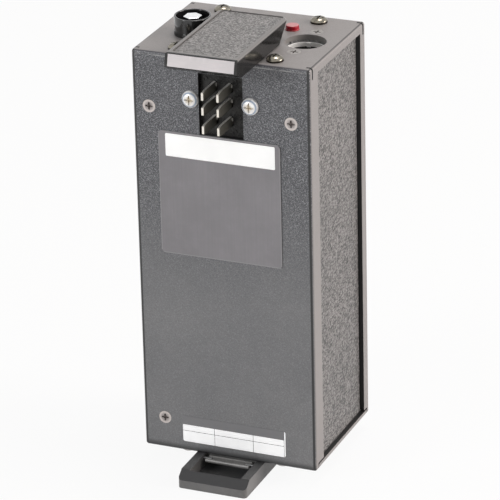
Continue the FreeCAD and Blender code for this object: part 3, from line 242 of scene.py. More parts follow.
def makeCaseSkinGroup(skin):
    inputs = [("Bend radius", "NodeSocketFloat", skin["bendRadius"])]
    tree, given, result = startGroup("caseSkin", inputs, ["Depth", "Bend"])
    radius = given.outputs["Bend radius"]
    centre = (caseLow + caseHigh) / 2
    core = (caseHigh - caseLow) / 2 - Vector((skin["bendRadius"],) * 3)
    fromCentre = vectorCalc(tree, "SUBTRACT", objectPlace(tree), tuple(centre))
    past = vectorCalc(tree, "SUBTRACT", vectorCalc(tree, "ABSOLUTE", fromCentre), tuple(core))
    outside = vectorCalc(tree, "LENGTH", vectorCalc(tree, "MAXIMUM", past), result=1)
    x, y, z = axes(tree, past)
    furthest = calc(tree, "MAXIMUM", x, calc(tree, "MAXIMUM", y, z))
    inside = calc(tree, "MINIMUM", furthest, 0.0)
    depth = minus(tree, radius, plus(tree, outside, inside))
    bend = minus(tree, outside, calc(tree, "MAXIMUM", furthest, 0.0))
    bend = calc(tree, "DIVIDE", bend, both(tree, radius, skin["bendMiddle"]), True)
    tree.links.new(depth, result.inputs["Depth"])
    tree.links.new(bend, result.inputs["Bend"])
    return tree


wrinkleGroup = makeWrinkleGroup(wrinkleShape)
handlingGroup = makeHandlingGroup(handlingShape)
brushedGroup = makeBrushedGroup(brushedShape)
caseSkinGroup = makeCaseSkinGroup(caseSkin)

# Values of a finish whose dictionary doesn't name them
plainLook = {
    "metal": 0.0, "ior": 1.5, "coat": 0.0, "clear": 0.0, "paperGlow": 0.0,
    "patch": 15 * mm, "smudge": 0.4, "grain": 0.5 * mm, "relief": 0.01 * mm,
}
coatRoughness = 0.1


# A finish has two tones that clouds mix, a range of roughness, and a fine grain
def startFinish(name, look):
    given = {**plainLook, **look}
    material = bpy.data.materials.new(name)
    material.use_nodes = True
    tree = material.node_tree
    tree.nodes.clear()
    shader = add(tree, "ShaderNodeBsdfPrincipled")
    out = add(tree, "ShaderNodeOutputMaterial")
    tree.links.new(shader.outputs[0], out.inputs[0])
    fixed = {"Metallic": given["metal"], "IOR": given["ior"], "Coat Weight": given["coat"],
             "Coat Roughness": coatRoughness, "Transmission Weight": given["clear"],
             "Emission Strength": given["paperGlow"]}
    for key, value in fixed.items():
        shader.inputs[key].default_value = value
    clouds = useGroup(tree, handlingGroup, {"Size": given["patch"], "Smudge": given["smudge"]})
    tone = clouds.outputs["Tone"]
    colour = mix(tree, tone, rgb(*look["dark"]), rgb(*look["light"]))
    roughness = rise(tree, tone, 0.0, 1.0, *look["rough"])
    return material, tree, shader, colour, roughness


# Paper can glow a little in its own tone: painted light that makes it brighter than the lamps do
def endFinish(tree, shader, colour, roughness, height, relief):
    put(tree, shader.inputs["Base Color"], colour)
    put(tree, shader.inputs["Roughness"], roughness)
    if shader.inputs["Emission Strength"].default_value:
        put(tree, shader.inputs["Emission Color"], colour)
    bump = add(tree, "ShaderNodeBump", {"Strength": 1.0, "Distance": relief, "Height": height})
    tree.links.new(bump.outputs[0], shader.inputs["Normal"])


def endGrained(tree, shader, colour, roughness, look):
    given = {**plainLook, **look}
    grain = useGroup(tree, wrinkleGroup, {"Size": given["grain"], "Glints": 0.0})
    endFinish(tree, shader, colour, roughness, grain.outputs["Height"], given["relief"])


def plainFinish(name, look):
    material, tree, shader, colour, roughness = startFinish(name, look)
    endGrained(tree, shader, colour, roughness, look)
    return material


def brushLine(tree, look):
    values = {"Size": look["lineSize"], "Stretch": look["stretch"]}
    return useGroup(tree, brushedGroup, values).outputs["Line"]


def brushColour(tree, look, line, colour):
    share = rise(tree, line, *brushedShape["lineSpan"], 0.0, look["lineShare"])
    return mix(tree, share, colour, rgb(*look["lineTone"]))


def brushedFinish(name, look):
    material, tree, shader, colour, roughness = startFinish(name, look)
    line = brushLine(tree, look)
    colour = brushColour(tree, look, line, colour)
    endFinish(tree, shader, colour, roughness, line, look["relief"])
    return material


def changeRoughness(tree, roughness, mask, value):
    return plus(tree, both(tree, roughness, inverse(tree, mask)), both(tree, mask, value))


def dress(node, material):
    nodes[node].data.materials.clear()
    nodes[node].data.materials.append(material)


# Camera: where the photograph was taken from, with its small roll
cameraView = {
    "position": (0.511195, -1.203026, 0.648416),
    "target": (-0.001640, -0.000250, 0.084836),
    "roll": math.radians(-1.389),
    "lens": 257.94,
    "sensor": 36,
    "near": 0.05,
    "far": 50,
}


def makeCamera(view):
    eye = Vector(view["position"])
    forward = (Vector(view["target"]) - eye).normalized()
    level = forward.cross(Vector((0, 0, 1))).normalized()
    upright = level.cross(forward)
    c, s = math.cos(view["roll"]), math.sin(view["roll"])
    right = level * c + upright * s
    up = upright * c - level * s
    data = bpy.data.cameras.new("camera")
    data.lens = view["lens"]
    data.sensor_width = view["sensor"]
    data.clip_start = view["near"]
    data.clip_end = view["far"]
    camera = bpy.data.objects.new("camera", data)
    turn = Matrix((right, up, -forward)).transposed().to_4x4()
    camera.matrix_world = Matrix.Translation(eye) @ turn
    scene.collection.objects.link(camera)
    scene.camera = camera


makeCamera(cameraView)

# Studio: white surround, pale floor that keeps a soft shadow, a key from the front left, a
# warm box on the right for the side, a top box for the roof, and a low fill for the foot
studio = {
    "surround": 0.34,
    "floorSize": 8.0,
    "floorTone": 0.62,
    "floorGlow": 0.92,
    "boxes": [
        {"name": "keyBox", "from": (-1.05, -1.6, 0.85), "size": (0.7, 0.6), "power": 17.0,
         "tint": (0.97, 0.99, 1.0)},
        {"name": "warmBox", "from": (1.55, 0.4, 0.75), "size": (0.9, 0.9), "power": 31.0,
         "tint": (1.0, 0.93, 0.89)},
        {"name": "topBox", "from": (0.15, 0.35, 2.1), "size": (0.8, 0.8), "power": 19.0,
         "tint": (1.0, 0.95, 0.92)},
        {"name": "lowFill", "from": (-0.15, -0.75, 0.12), "size": (0.5, 0.16), "power": 0.5,
         "tint": (1.0, 1.0, 1.0)},
    ],
}


def seenByEye(tree):
    path = add(tree, "ShaderNodeLightPath").outputs
    bent = calc(tree, "MAXIMUM", path["Is Glossy Ray"], path["Is Transmission Ray"])
    return calc(tree, "MAXIMUM", path["Is Camera Ray"], bent)


def makeSurround(look):
    world = bpy.data.worlds.new("surround")
    scene.world = world
    world.use_nodes = True
    tree = world.node_tree
    tree.nodes.clear()
    strength = rise(tree, seenByEye(tree), 0.0, 1.0, look["surround"], 1.0)
    back = add(tree, "ShaderNodeBackground", {"Color": rgb(1.0), "Strength": strength})
    out = add(tree, "ShaderNodeOutputWorld")
    tree.links.new(back.outputs[0], out.inputs[0])


def makeFloor(look):
    half = look["floorSize"] / 2
    mesh = bpy.data.meshes.new("floor")
    corners = [(-half, -half, 0), (half, -half, 0), (half, half, 0), (-half, half, 0)]
    mesh.from_pydata(corners, [], [(0, 1, 2, 3)])
    floor = bpy.data.objects.new("floor", mesh)
    scene.collection.objects.link(floor)
    material = bpy.data.materials.new("floorPaper")
    material.use_nodes = True
    tree = material.node_tree
    tree.nodes.clear()
    paper = add(tree, "ShaderNodeBsdfDiffuse", {"Color": rgb(look["floorTone"])})
    glow = add(tree, "ShaderNodeEmission", {"Color": rgb(1.0), "Strength": 1.0})
    share = both(tree, seenByEye(tree), look["floorGlow"])
    mixed = add(tree, "ShaderNodeMixShader", {0: share, 1: paper.outputs[0], 2: glow.outputs[0]})
    out = add(tree, "ShaderNodeOutputMaterial")
    tree.links.new(mixed.outputs[0], out.inputs[0])
    mesh.materials.append(material)


def makeBox(box, aim):
    data = bpy.data.lights.new(box["name"], "AREA")
    data.shape = "RECTANGLE"
    data.size, data.size_y = box["size"]
    data.energy = box["power"]
    data.color = box["tint"]
    light = bpy.data.objects.new(box["name"], data)
    eye = Vector(box["from"])
    turn = (aim - eye).to_track_quat("-Z", "Y").to_matrix().to_4x4()
    light.matrix_world = Matrix.Translation(eye) @ turn
    scene.collection.objects.link(light)


makeSurround(studio)
makeFloor(studio)
for box in studio["boxes"]:
    makeBox(box, (caseLow + caseHigh) / 2)
print("camera and studio set")

# Case panels: dark grey wrinkle enamel, strongest high on the front and the rear, smooth on the
# roof and towards the base. Light is painted into it: painted shade high on the faces, a lit tone
# on the roof and sides, painted glints and valley shade in the wrinkle, painted shade on the
# bends, the side edges and the base, a painted highlight line under the top bend, and black
# painted as shade along a slit at each top corner and in the plug's window; grey hole walls and
# black cut edges
casePaint = {
    "dark": (0.152, (0.99, 0.99, 1.02)), "light": (0.184, (1.0, 0.99, 1.0)),
    "patch": 34 * mm, "smudge": 0.35, "rough": (0.40, 0.48), "grain": 0.52 * mm,
    "relief": 0.03 * mm, "glints": 0.85, "faceTilt": (0.35, 0.8), "faceDepth": (3 * mm, 4 * mm),
    "smoothBelow": 60 * mm, "fullAbove": 150 * mm, "smoothShare": 0.3,
    "roofShare": 0.16, "roofLightTone": (0.215, (1.07, 0.99, 0.96)), "roofLightShare": 0.85,
    "highShadeTone": (0.08, (0.97, 0.98, 1.08)), "glintTone": (0.31, (0.98, 0.99, 1.04)),
    "valleyShadeTone": (0.045, (0.98, 0.98, 1.08)), "valleySpan": (0.15, 0.6), "valleyShare": 0.7,
    "bendShadeTone": (0.07, (0.99, 0.96, 1.08)), "bendRough": 0.26, "bendSpan": (0.1, 0.8),
    "bendInset": (0.3 * mm, 1.0 * mm),
    "breakupScale": 260.0, "breakupSpan": (0.38, 0.62), "breakupShare": (0.15, 0.85),
    "lineTone": (0.34, (1.0, 0.99, 0.98)), "highlightDrop": 1.45 * mm,
    "highlightFade": (0.1 * mm, 0.35 * mm),
    "edgeShadeTone": (0.018, (1.0, 0.99, 1.02)), "edgeStart": (0.35 * mm, 0.63 * mm),
    "edgeFade": 0.5 * mm, "roofEdge": 1.15 * mm, "faceEdge": 1.6 * mm,
    "baseFade": (0.6 * mm, 3.6 * mm), "baseShare": 0.9,
    "slitPlace": 2.55 * mm, "slitWidth": 1.2 * mm, "slitDrop": 4.7 * mm, "slitReach": 2.5 * mm,
    "cutTone": (0.008,), "holeTone": (0.19, (1.05, 1.0, 0.96)),
    "cutDepth": (0.072 * mm, 0.12 * mm), "sheet": 2.2 * mm,
    "plugMargin": 1.0 * mm, "plugDepth": 3 * mm,
}


def makeCasePaint(look):
    material, tree, shader, colour, roughness = startFinish("caseWrinkleEnamel", look)
    x, y, z = axes(tree)
    centre = (caseLow + caseHigh) / 2
    half = (caseHigh - caseLow) / 2
    fromSide = minus(tree, half.x, away(tree, x, centre.x))
    fromFace = minus(tree, half.y, away(tree, y, centre.y))
    fromTop = minus(tree, caseHigh.z, z)

    # Where the paint lies: on the upright faces or not, and how strong its wrinkle is there; the
    # faces get painted shade towards the top, the roof and sides a painted lit tone, and the
    # wrinkle painted shade in its valleys and painted glints on its ridges
    upright = rise(tree, calc(tree, "ABSOLUTE", facing(tree)[1]), *look["faceTilt"])
    onFace = both(tree, upright, rise(tree, fromFace, *look["faceDepth"], 1.0, 0.0))
    high = rise(tree, z, look["smoothBelow"], look["fullAbove"])
    strong = both(tree, rise(tree, high, 0.0, 1.0, look["smoothShare"], 1.0),
                  rise(tree, onFace, 0.0, 1.0, look["roofShare"], 1.0))
    # Painted shade: the upright faces turn darker and bluer towards the top
    colour = mix(tree, both(tree, high, onFace), colour, rgb(*look["highShadeTone"]))
    # Painted light: the roof and sides take a lighter, warmer tone than the faces
    offFace = both(tree, inverse(tree, onFace), look["roofLightShare"])
    colour = mix(tree, offFace, colour, rgb(*look["roofLightTone"]))
    wrinkle = useGroup(tree, wrinkleGroup, {"Size": look["grain"], "Glints": look["glints"]})
    height, glint = wrinkle.outputs["Height"], wrinkle.outputs["Glint"]
    # Painted shade in the wrinkle's valleys
    valley = rise(tree, height, *look["valleySpan"], look["valleyShare"], 0.0)
    colour = mix(tree, both(tree, valley, strong), colour, rgb(*look["valleyShadeTone"]))
    # Painted glints on the wrinkle's ridges
    colour = mix(tree, both(tree, glint, strong), colour, rgb(*look["glintTone"]))

    # Painted shade and highlights: darker, shinier bends with painted shade, a painted highlight
    # line under the top bend, and painted shade at the side edges and along the base
    skin = useGroup(tree, caseSkinGroup, {})
    bend = rise(tree, skin.outputs["Bend"], *look["bendSpan"])
    atBend = both(tree, bend, rise(tree, fromSide, *look["bendInset"]))
    # Painted shade on the bends, away from the sides
    colour = mix(tree, atBend, colour, rgb(*look["bendShadeTone"]))
    roughness = changeRoughness(tree, roughness, bend, look["bendRough"])
    # Painted highlight line under the top bend, broken up by noise
    highlightBreakup = rise(tree, noiseAt(tree, objectPlace(tree), look["breakupScale"]),
                  *look["breakupSpan"], *look["breakupShare"])
    line = rise(tree, away(tree, fromTop, look["highlightDrop"]), *look["highlightFade"], 1.0, 0.0)
    colour = mix(tree, both(tree, line, onFace, highlightBreakup), colour, rgb(*look["lineTone"]))
    # Painted shade in a band along the side edges
    width = rise(tree, onFace, 0.0, 1.0, look["roofEdge"], look["faceEdge"])
    edge = both(tree, rise(tree, fromSide, *look["edgeStart"]),
                rise(tree, minus(tree, width, fromSide), 0.0, look["edgeFade"]))
    colour = mix(tree, edge, colour, rgb(*look["edgeShadeTone"]))
    # Painted shade along the base of the upright faces
    baseFrom, baseTo = look["baseFade"]
    base = rise(tree, z, caseLow.z + baseFrom, caseLow.z + baseTo, look["baseShare"], 0.0)
    colour = mix(tree, both(tree, base, onFace), colour, rgb(*look["edgeShadeTone"]))

    # Cuts: hole walls under the skin, black at the sides, black painted as shade on the walls of
    # the plug's window, and black painted as the shade of the slits
    slit = both(tree, under(tree, away(tree, fromFace, look["slitPlace"]), look["slitWidth"] / 2),
                under(tree, fromTop, look["slitDrop"]), under(tree, fromSide, look["slitReach"]))
    plugLow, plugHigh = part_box("plug_block")
    plugHalf = (plugHigh.x - plugLow.x) / 2 + look["plugMargin"]
    atPlug = both(tree, under(tree, away(tree, x, (plugLow.x + plugHigh.x) / 2), plugHalf),
                  above(tree, z, plugLow.z - look["plugMargin"]),
                  under(tree, fromFace, look["plugDepth"]))
    atSide = under(tree, fromSide, look["sheet"])
    cut = rise(tree, skin.outputs["Depth"], *look["cutDepth"])
    colour = mix(tree, cut, colour, rgb(*look["holeTone"]))
    # The black on the walls of the plug's window and along the slits is painted shade
    black = both(tree, cut, calc(tree, "MAXIMUM", atSide, atPlug))
    colour = mix(tree, calc(tree, "MAXIMUM", black, slit), colour, rgb(*look["cutTone"]))
    endFinish(tree, shader, colour, roughness, both(tree, height, strong), look["relief"])
    return material


enamel = makeCasePaint(casePaint)
for panel in ("front_panel", "rear_panel", "top_panel", "bottom_panel"):
    dress(panel, enamel)

# Side coverings and latch inset: embossed grain cut into the sheet itself, pebbles of a given
# size along each axis, with painted shade darkening the creases between them
sideCovering = {
    "dark": (0.172, (1.05, 1.0, 0.98)), "light": (0.224, (1.05, 1.0, 0.985)),
    "patch": 25 * mm, "smudge": 0.3, "rough": (0.34, 0.44),
    "creaseShadeTone": (0.03,), "grain": 0.35 * mm, "relief": 0.012 * mm,
    "step": 0.35 * mm, "pebble": (1.0 * mm, 1.75 * mm, 0.8 * mm), "slant": 0.12,
    "emboss": 0.15 * mm, "edge": 0.5 * mm, "corner": 0.0, "rearShadowReach": 2.2 * mm,
}
insetCovering = {
    "dark": (0.208, (1.04, 1.0, 0.985)), "light": (0.285, (1.04, 1.0, 0.985)),
    "patch": 9 * mm, "smudge": 0.5, "rough": (0.34, 0.46),
    "creaseShadeTone": (0.055,), "grain": 0.3 * mm, "relief": 0.01 * mm,
    "step": 0.3 * mm, "pebble": (0.85 * mm, 0.85 * mm, 0.85 * mm), "slant": 0.0,
    "emboss": 0.09 * mm, "edge": 0.3 * mm, "corner": 1.45 * mm, "rearShadowReach": 0.0,
}
pebbleShape = {
    "warpScale": 1.3, "warp": 0.4, "creaseWidth": 0.7, "swell": 0.08, "swellSize": 4,
    "creaseLevel": 0.75, "creaseRough": 0.2, "rearShadowShare": 0.85,
}


# Height of the grain from 0 in a crease to 1, drawn out on a slant
def pebbleHeight(point, size, slant):
    shape = pebbleShape
    at = Vector((point.x / size[0], point.y / size[1], (point.z - point.y * slant) / size[2]))
    at = at + noise.noise_vector(at * shape["warpScale"]) * shape["warp"]
    near = noise.voronoi(at)[0]
    ridge = min(1.0, (near[1] - near[0]) / shape["creaseWidth"])
    swell = 1 - shape["swell"] + shape["swell"] * noise.noise(at / shape["swellSize"])
    return ridge * (2 - ridge) * swell


# Draws a point of a rectangle's corner in to an arc
def roundCorner(point, low, high, ways, radius):
    past = [abs(point[i] - (low[i] + high[i]) / 2) - (high[i] - low[i]) / 2 + radius for i in ways]
    reach = math.hypot(*past)
    if min(past) > 0 and reach > radius:
        for i, over in zip(ways, past):
            shift = over * (1 - radius / reach)
            point[i] -= math.copysign(shift, point[i] - (low[i] + high[i]) / 2)


# A sheet with its embossed face towards an axis; the back and rims stay flat
def embossedSheet(name, node, outward, look, material):
    low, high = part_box(node)
    out = max(range(3), key=lambda i: abs(outward[i]))
    across, along = [i for i in range(3) if i != out]
    countAcross = max(2, round((high[across] - low[across]) / look["step"]))
    countAlong = max(2, round((high[along] - low[along]) / look["step"]))
    face, back = (high[out], low[out]) if outward[out] > 0 else (low[out], high[out])
    sheet = bmesh.new()
    relief = sheet.verts.layers.float.new("relief")
    grid = []
    for i in range(countAcross + 1):
        row = []
        for j in range(countAlong + 1):
            point = Vector((0, 0, 0))
            point[out] = face
            point[across] = low[across] + (high[across] - low[across]) * i / countAcross
            point[along] = low[along] + (high[along] - low[along]) * j / countAlong
            rim = min(point[across] - low[across], high[across] - point[across],
                      point[along] - low[along], high[along] - point[along])
            roundCorner(point, low, high, (across, along), look["corner"])
            level = pebbleHeight(point, look["pebble"], look["slant"])
            level *= min(1.0, rim / look["edge"])
            point[out] -= outward[out] * look["emboss"] * (1 - level)
            vertex = sheet.verts.new(point)
            vertex[relief] = level
            row.append(vertex)
        grid.append(row)
    for i in range(countAcross):
        for j in range(countAlong):
            corners = (grid[i][j], grid[i + 1][j], grid[i + 1][j + 1], grid[i][j + 1])
            sheet.faces.new(corners)
    rims = [edge for edge in sheet.edges if edge.is_boundary]
    drawn = bmesh.ops.extrude_edge_only(sheet, edges=rims)["geom"]
    for vertex in drawn:
        if isinstance(vertex, bmesh.types.BMVert):
            vertex.co[out] = back
            vertex[relief] = 0.0
    openEdges = [edge for edge in sheet.edges if edge.is_boundary]
    bmesh.ops.holes_fill(sheet, edges=openEdges, sides=0)
    bmesh.ops.recalc_face_normals(sheet, faces=sheet.faces)
    mesh = bpy.data.meshes.new(name)
    sheet.to_mesh(mesh)
    sheet.free()
    for polygon in mesh.polygons:
        polygon.use_smooth = len(polygon.vertices) == 4
    piece = bpy.data.objects.new(name, mesh)
    scene.collection.objects.link(piece)
    mesh.materials.append(material)
    return piece


def makeCovering(name, look):
    shape = pebbleShape
    material, tree, shader, colour, roughness = startFinish(name, look)
    level = add(tree, "ShaderNodeAttribute", attribute_name="relief").outputs["Fac"]
    # Painted shade in the creases
    crease = rise(tree, level, 0.0, shape["creaseLevel"], 1.0, 0.0)
    colour = mix(tree, crease, colour, rgb(*look["creaseShadeTone"]))
    # Painted shadow: the side covering darkens towards the rear flange
    if look["rearShadowReach"]:
        rear = rearHigh.y - returnDepth
        y = axes(tree)[1]
        shade = rise(tree, y, rear - look["rearShadowReach"], rear, 0.0, shape["rearShadowShare"])
        colour = mix(tree, shade, colour, rgb(*look["creaseShadeTone"]))
    roughness = plus(tree, roughness, both(tree, crease, shape["creaseRough"]))
    endGrained(tree, shader, colour, roughness, look)
    return material


sideMaterial = makeCovering("sideCoveringGrain", sideCovering)
for side, outward in (("left", (-1, 0, 0)), ("right", (1, 0, 0))):
    covering = embossedSheet("side_covering_" + side, "side_skin_" + side, outward,
                             sideCovering, sideMaterial)
    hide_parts("side_skin_" + side)
    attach(covering, "case")
insetMaterial = makeCovering("latchInsetGrain", insetCovering)
inset = embossedSheet("latch_grained_inset", "latch_inset", (0, 0, 1), insetCovering,
                      insetMaterial)
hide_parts("latch_inset")
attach(inset, "latch")
print("coverings embossed")

# Latch cover: glossy black moulding, softer on its rim behind the nose, where a grey tone is a
# painted sheen
latchShell = {
    "dark": (0.012,), "light": (0.022, (1.05, 1.0, 0.95)), "patch": 12 * mm, "smudge": 0.5,
    "rough": (0.14, 0.22), "ior": 1.42, "grain": 2.5 * mm, "relief": 0.004 * mm,
    "paintedRimTone": (0.15, (1.05, 1.0, 0.97)), "rimRough": 0.32, "rimStart": 0.95 * mm,
    "rimFull": 0.285 * mm, "noseReach": 2.3 * mm, "noseFade": 0.3 * mm,
}


def makeLatchShell(look):
    material, tree, shader, colour, roughness = startFinish("latchMoulding", look)
    low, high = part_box("latch_cover")
    y, z = axes(tree)[1:]
    noseEnd = low.y + look["noseReach"]
    # Painted sheen: a grey tone on the upper rim behind the nose
    rim = both(tree, rise(tree, z, high.z - look["rimStart"], high.z - look["rimFull"]),
               rise(tree, y, noseEnd - look["noseFade"], noseEnd))
    colour = mix(tree, rim, colour, rgb(*look["paintedRimTone"]))
    roughness = changeRoughness(tree, roughness, rim, look["rimRough"])
    endGrained(tree, shader, colour, roughness, look)
    return material


dress("latch_cover", makeLatchShell(latchShell))

nosePlate = {
    "dark": (0.49, (1.04, 0.96, 0.97)), "light": (0.59, (1.04, 0.96, 0.97)),
    "patch": 12 * mm, "smudge": 0.2, "rough": (0.4, 0.5), "metal": 0.1, "relief": 0.003 * mm,
    "lineSize": 0.3 * mm, "stretch": (0.04, 1.0, 1.0), "lineShare": 0.25, "lineTone": (0.42,),
}
dress("latch_nose_plate", brushedFinish("nosePlateSatin", nosePlate))

# Grey plate on the front, with a painted highlight in a bright band along its rim
facePlate = {
    "dark": (0.19, (1.02, 0.965, 1.02)), "light": (0.225, (1.02, 0.965, 1.02)),
    "patch": 22 * mm, "smudge": 0.3, "rough": (0.38, 0.46), "relief": 0.003 * mm,
    "lineSize": 0.5 * mm, "stretch": (1.0, 1.0, 0.02), "lineShare": 0.22, "lineTone": (0.165,),
    "rimFade": (0.128 * mm, 0.32 * mm), "paintedRimTone": (0.28, (1.0, 0.98, 1.0)),
}


def makeFacePlate(look):
    material, tree, shader, colour, roughness = startFinish("facePlateSatin", look)
    low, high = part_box("face_plate")
    centre, half = (low + high) / 2, (high - low) / 2
    x, _, z = axes(tree)
    fromRim = calc(tree, "MINIMUM", minus(tree, half.x, away(tree, x, centre.x)),
                   minus(tree, half.z, away(tree, z, centre.z)))
    # Painted highlight along the rim
    rim = rise(tree, fromRim, *look["rimFade"], 1.0, 0.0)
    line = brushLine(tree, look)
    colour = brushColour(tree, look, line, colour)
    colour = mix(tree, rim, colour, rgb(*look["paintedRimTone"]))
    endFinish(tree, shader, colour, roughness, line, look["relief"])
    return material


dress("face_plate", makeFacePlate(facePlate))

# The strip's paper glows a little: painted light that lifts it towards white
printedStrip = {
    "dark": (0.93, (1.0, 0.995, 0.985)), "light": (1.0, (1.0, 1.0, 0.99)), "patch": 7 * mm,
    "smudge": 0.3, "rough": (0.5, 0.6), "grain": 0.25 * mm, "relief": 0.004 * mm,
    "paperGlow": 0.09,
}
dress("plate_strip", plainFinish("blankStripPaper", printedStrip))

# Form label: a dark heading band, a header row and an entry row in three columns, left blank
# The label's film glows a little: painted light that lifts it towards white
formLabel = {
    "dark": (0.9, (1.0, 0.995, 1.0)), "light": (0.98, (1.0, 1.0, 1.0)), "patch": 6 * mm,
    "smudge": 0.3, "rough": (0.34, 0.44), "grain": 0.3 * mm, "relief": 0.003 * mm,
    "paperGlow": 0.18, "headTone": (0.14, (1.0, 0.99, 1.02)), "ruleTone": (0.06,),
    "ruleWidth": 0.2 * mm, "heading": 3.8 * mm, "header": 6.45 * mm,
    "columns": (0.315, 0.696), "border": 0.6 * mm,
}


def makeFormLabel(look):
    material, tree, shader, colour, roughness = startFinish("formLabelFilm", look)
    low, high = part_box("form_label")
    x, _, z = axes(tree)
    fromTop = minus(tree, high.z, z)
    fromRight = minus(tree, high.x, x)

    def rule(value, centre):
        return under(tree, away(tree, value, centre), look["ruleWidth"] / 2)

    body = above(tree, fromRight, look["border"])
    heading = both(tree, above(tree, look["heading"], fromTop), body)
    lines = both(tree, rule(fromTop, look["header"]), body)
    width = high.x - low.x - look["border"]
    for share in look["columns"]:
        column = both(tree, rule(x, low.x + width * share),
                      above(tree, fromTop, look["heading"]))
        lines = calc(tree, "MAXIMUM", lines, column)
    lines = calc(tree, "MAXIMUM", lines, rule(fromRight, look["border"]))
    colour = mix(tree, heading, colour, rgb(*look["headTone"]))
    colour = mix(tree, lines, colour, rgb(*look["ruleTone"]))
    endGrained(tree, shader, colour, roughness, look)
    return material


dress("form_label", makeFormLabel(formLabel))
print("plates and label dressed")

# Blade plug: black block, and olive blades with painted shade on their sideways faces and
# painted highlights on their tips and on the upward faces of their rear half
plugMoulding = {
    "dark": (0.012,), "light": (0.04, (1.04, 1.0, 0.94)), "patch": 3.5 * mm, "smudge": 0.5,
    "rough": (0.24, 0.36), "ior": 1.3, "grain": 1.5 * mm, "relief": 0.004 * mm,
}
dress("plug_block", plainFinish("plugMoulding", plugMoulding))

bladeMetal = {
    "dark": (0.34, (1.0, 0.97, 0.9)), "light": (0.52, (1.0, 0.98, 0.92)), "patch": 3 * mm,
    "smudge": 0.5, "rough": (0.3, 0.42), "metal": 0.25, "relief": 0.004 * mm,
    "lineSize": 0.25 * mm, "stretch": (1.0, 0.06, 1.0),
    "tipHighlightTone": (0.86, (1.0, 0.95, 0.86)), "tipFade": (0.27 * mm, 0.9 * mm),
    "sideShadeTone": (0.1, (1.0, 0.96, 0.82)), "sideTilt": (0.4, 0.8),
    "topHighlightTone": (0.95, (1.0, 0.97, 0.92)), "topHighlightTilt": (0.5, 0.9),
}


def makeBladeMetal(look):
    material, tree, shader, colour, roughness = startFinish("bladeNickel", look)
    turned = facing(tree, "True Normal")
    sideways = rise(tree, calc(tree, "ABSOLUTE", turned[0]), *look["sideTilt"])
    upward = rise(tree, turned[2], *look["topHighlightTilt"])
    y = axes(tree)[1]
    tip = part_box("plug_blades")[0].y
    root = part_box("plug_block")[0].y
    fadeFrom, fadeTo = look["tipFade"]
    behindTip = rise(tree, y, tip + fadeFrom, tip + fadeTo)
    # Painted highlights on the tips and on upward faces behind the middle; painted shade on
    # sideways faces
    colour = mix(tree, behindTip, rgb(*look["tipHighlightTone"]), colour)
    topHighlight = both(tree, rise(tree, y, (tip + root) / 2, root), upward)
    colour = mix(tree, topHighlight, colour, rgb(*look["topHighlightTone"]))
    colour = mix(tree, sideways, colour, rgb(*look["sideShadeTone"]))
    endFinish(tree, shader, colour, roughness, brushLine(tree, look), look["relief"])
    return material


dress("plug_blades", makeBladeMetal(bladeMetal))

# Screws: nickel pan heads on the roof, zinc pan heads beside the plug, flush heads on the
# front and beside the socket, dull ones elsewhere
screwLooks = {
    "nickelScrew": {
        "dark": (0.15, (1.03, 0.93, 0.74)), "light": (0.34, (1.02, 0.95, 0.8)),
        "patch": 1.6 * mm, "smudge": 0.5, "rough": (0.16, 0.26), "metal": 1.0,
        "grain": 1.2 * mm, "relief": 0.004 * mm,
        "paintedRimTone": (0.03, (1.1, 0.95, 0.75)), "rimFade": (0.48 * mm, 0.8 * mm)},
    # The zinc heads are bright plated metal; their near-white tone is also painted light, lifting
    # the shade in their recesses and standing in for the glint on their domes
    "zincScrew": {
        "dark": (0.82, (1.02, 0.98, 0.94)), "light": (0.97, (0.99, 1.0, 1.01)),
        "patch": 1.6 * mm, "smudge": 0.5, "rough": (0.3, 0.42), "metal": 0.2,
        "grain": 0.9 * mm, "relief": 0.003 * mm,
        "ringTone": (0.42, (0.82, 0.98, 1.22)), "ringRise": (0.68, 0.8), "ringFall": (0.84, 0.95),
        "stainTone": (0.46, (1.12, 0.92, 0.6)), "stainShare": 0.75, "stainFall": (0.15, 0.6),
        "radius": 3.4 * mm, "places": ((-12.4 * mm, 158.3 * mm), (12.4 * mm, 158.3 * mm))},
    "flushScrew": {
        "dark": (0.26, (1.08, 0.98, 0.94)), "light": (0.44, (1.07, 0.98, 0.94)),
        "patch": 0.9 * mm, "smudge": 0.7, "rough": (0.3, 0.45), "metal": 0.5,
        "grain": 0.7 * mm, "relief": 0.01 * mm,
        "ringTone": (0.49, (1.08, 0.98, 0.93)), "ringRise": (0.55, 0.8), "ringFall": (0.94, 1.04),
        "stainTone": (0.05, (1.25, 0.95, 0.85)), "stainShare": 0.85, "stainFall": (0.14, 0.58),
        "radius": 2.65 * mm,
        "places": ((-30.2 * mm, 153.1 * mm), (28.9 * mm, 153.1 * mm), (-27.9 * mm, 20.0 * mm))},
    "beigeScrew": {
        "dark": (0.19, (1.04, 0.99, 0.95)), "light": (0.4, (1.04, 0.99, 0.95)),
        "patch": 1.0 * mm, "smudge": 0.6, "rough": (0.34, 0.46), "metal": 0.3,
        "grain": 0.6 * mm, "relief": 0.006 * mm},
    "dullScrew": {
        "dark": (0.24, (1.06, 0.98, 0.94)), "light": (0.56, (1.05, 0.98, 0.95)),
        "patch": 0.9 * mm, "smudge": 0.7, "rough": (0.3, 0.45), "metal": 0.7,
        "grain": 0.7 * mm, "relief": 0.01 * mm},
}
screwNodes = {
    "nickelScrew": ["top_screws"],
    "zincScrew": ["plug_screws"],
    "beigeScrew": ["socket_screws"],
    "flushScrew": ["front_screws"],
    "dullScrew": ["rear_screws", "bottom_screws", "foot_screws", "plug_nuts", "bracket_screws",
                  "board_screws", "button_nut"],
}


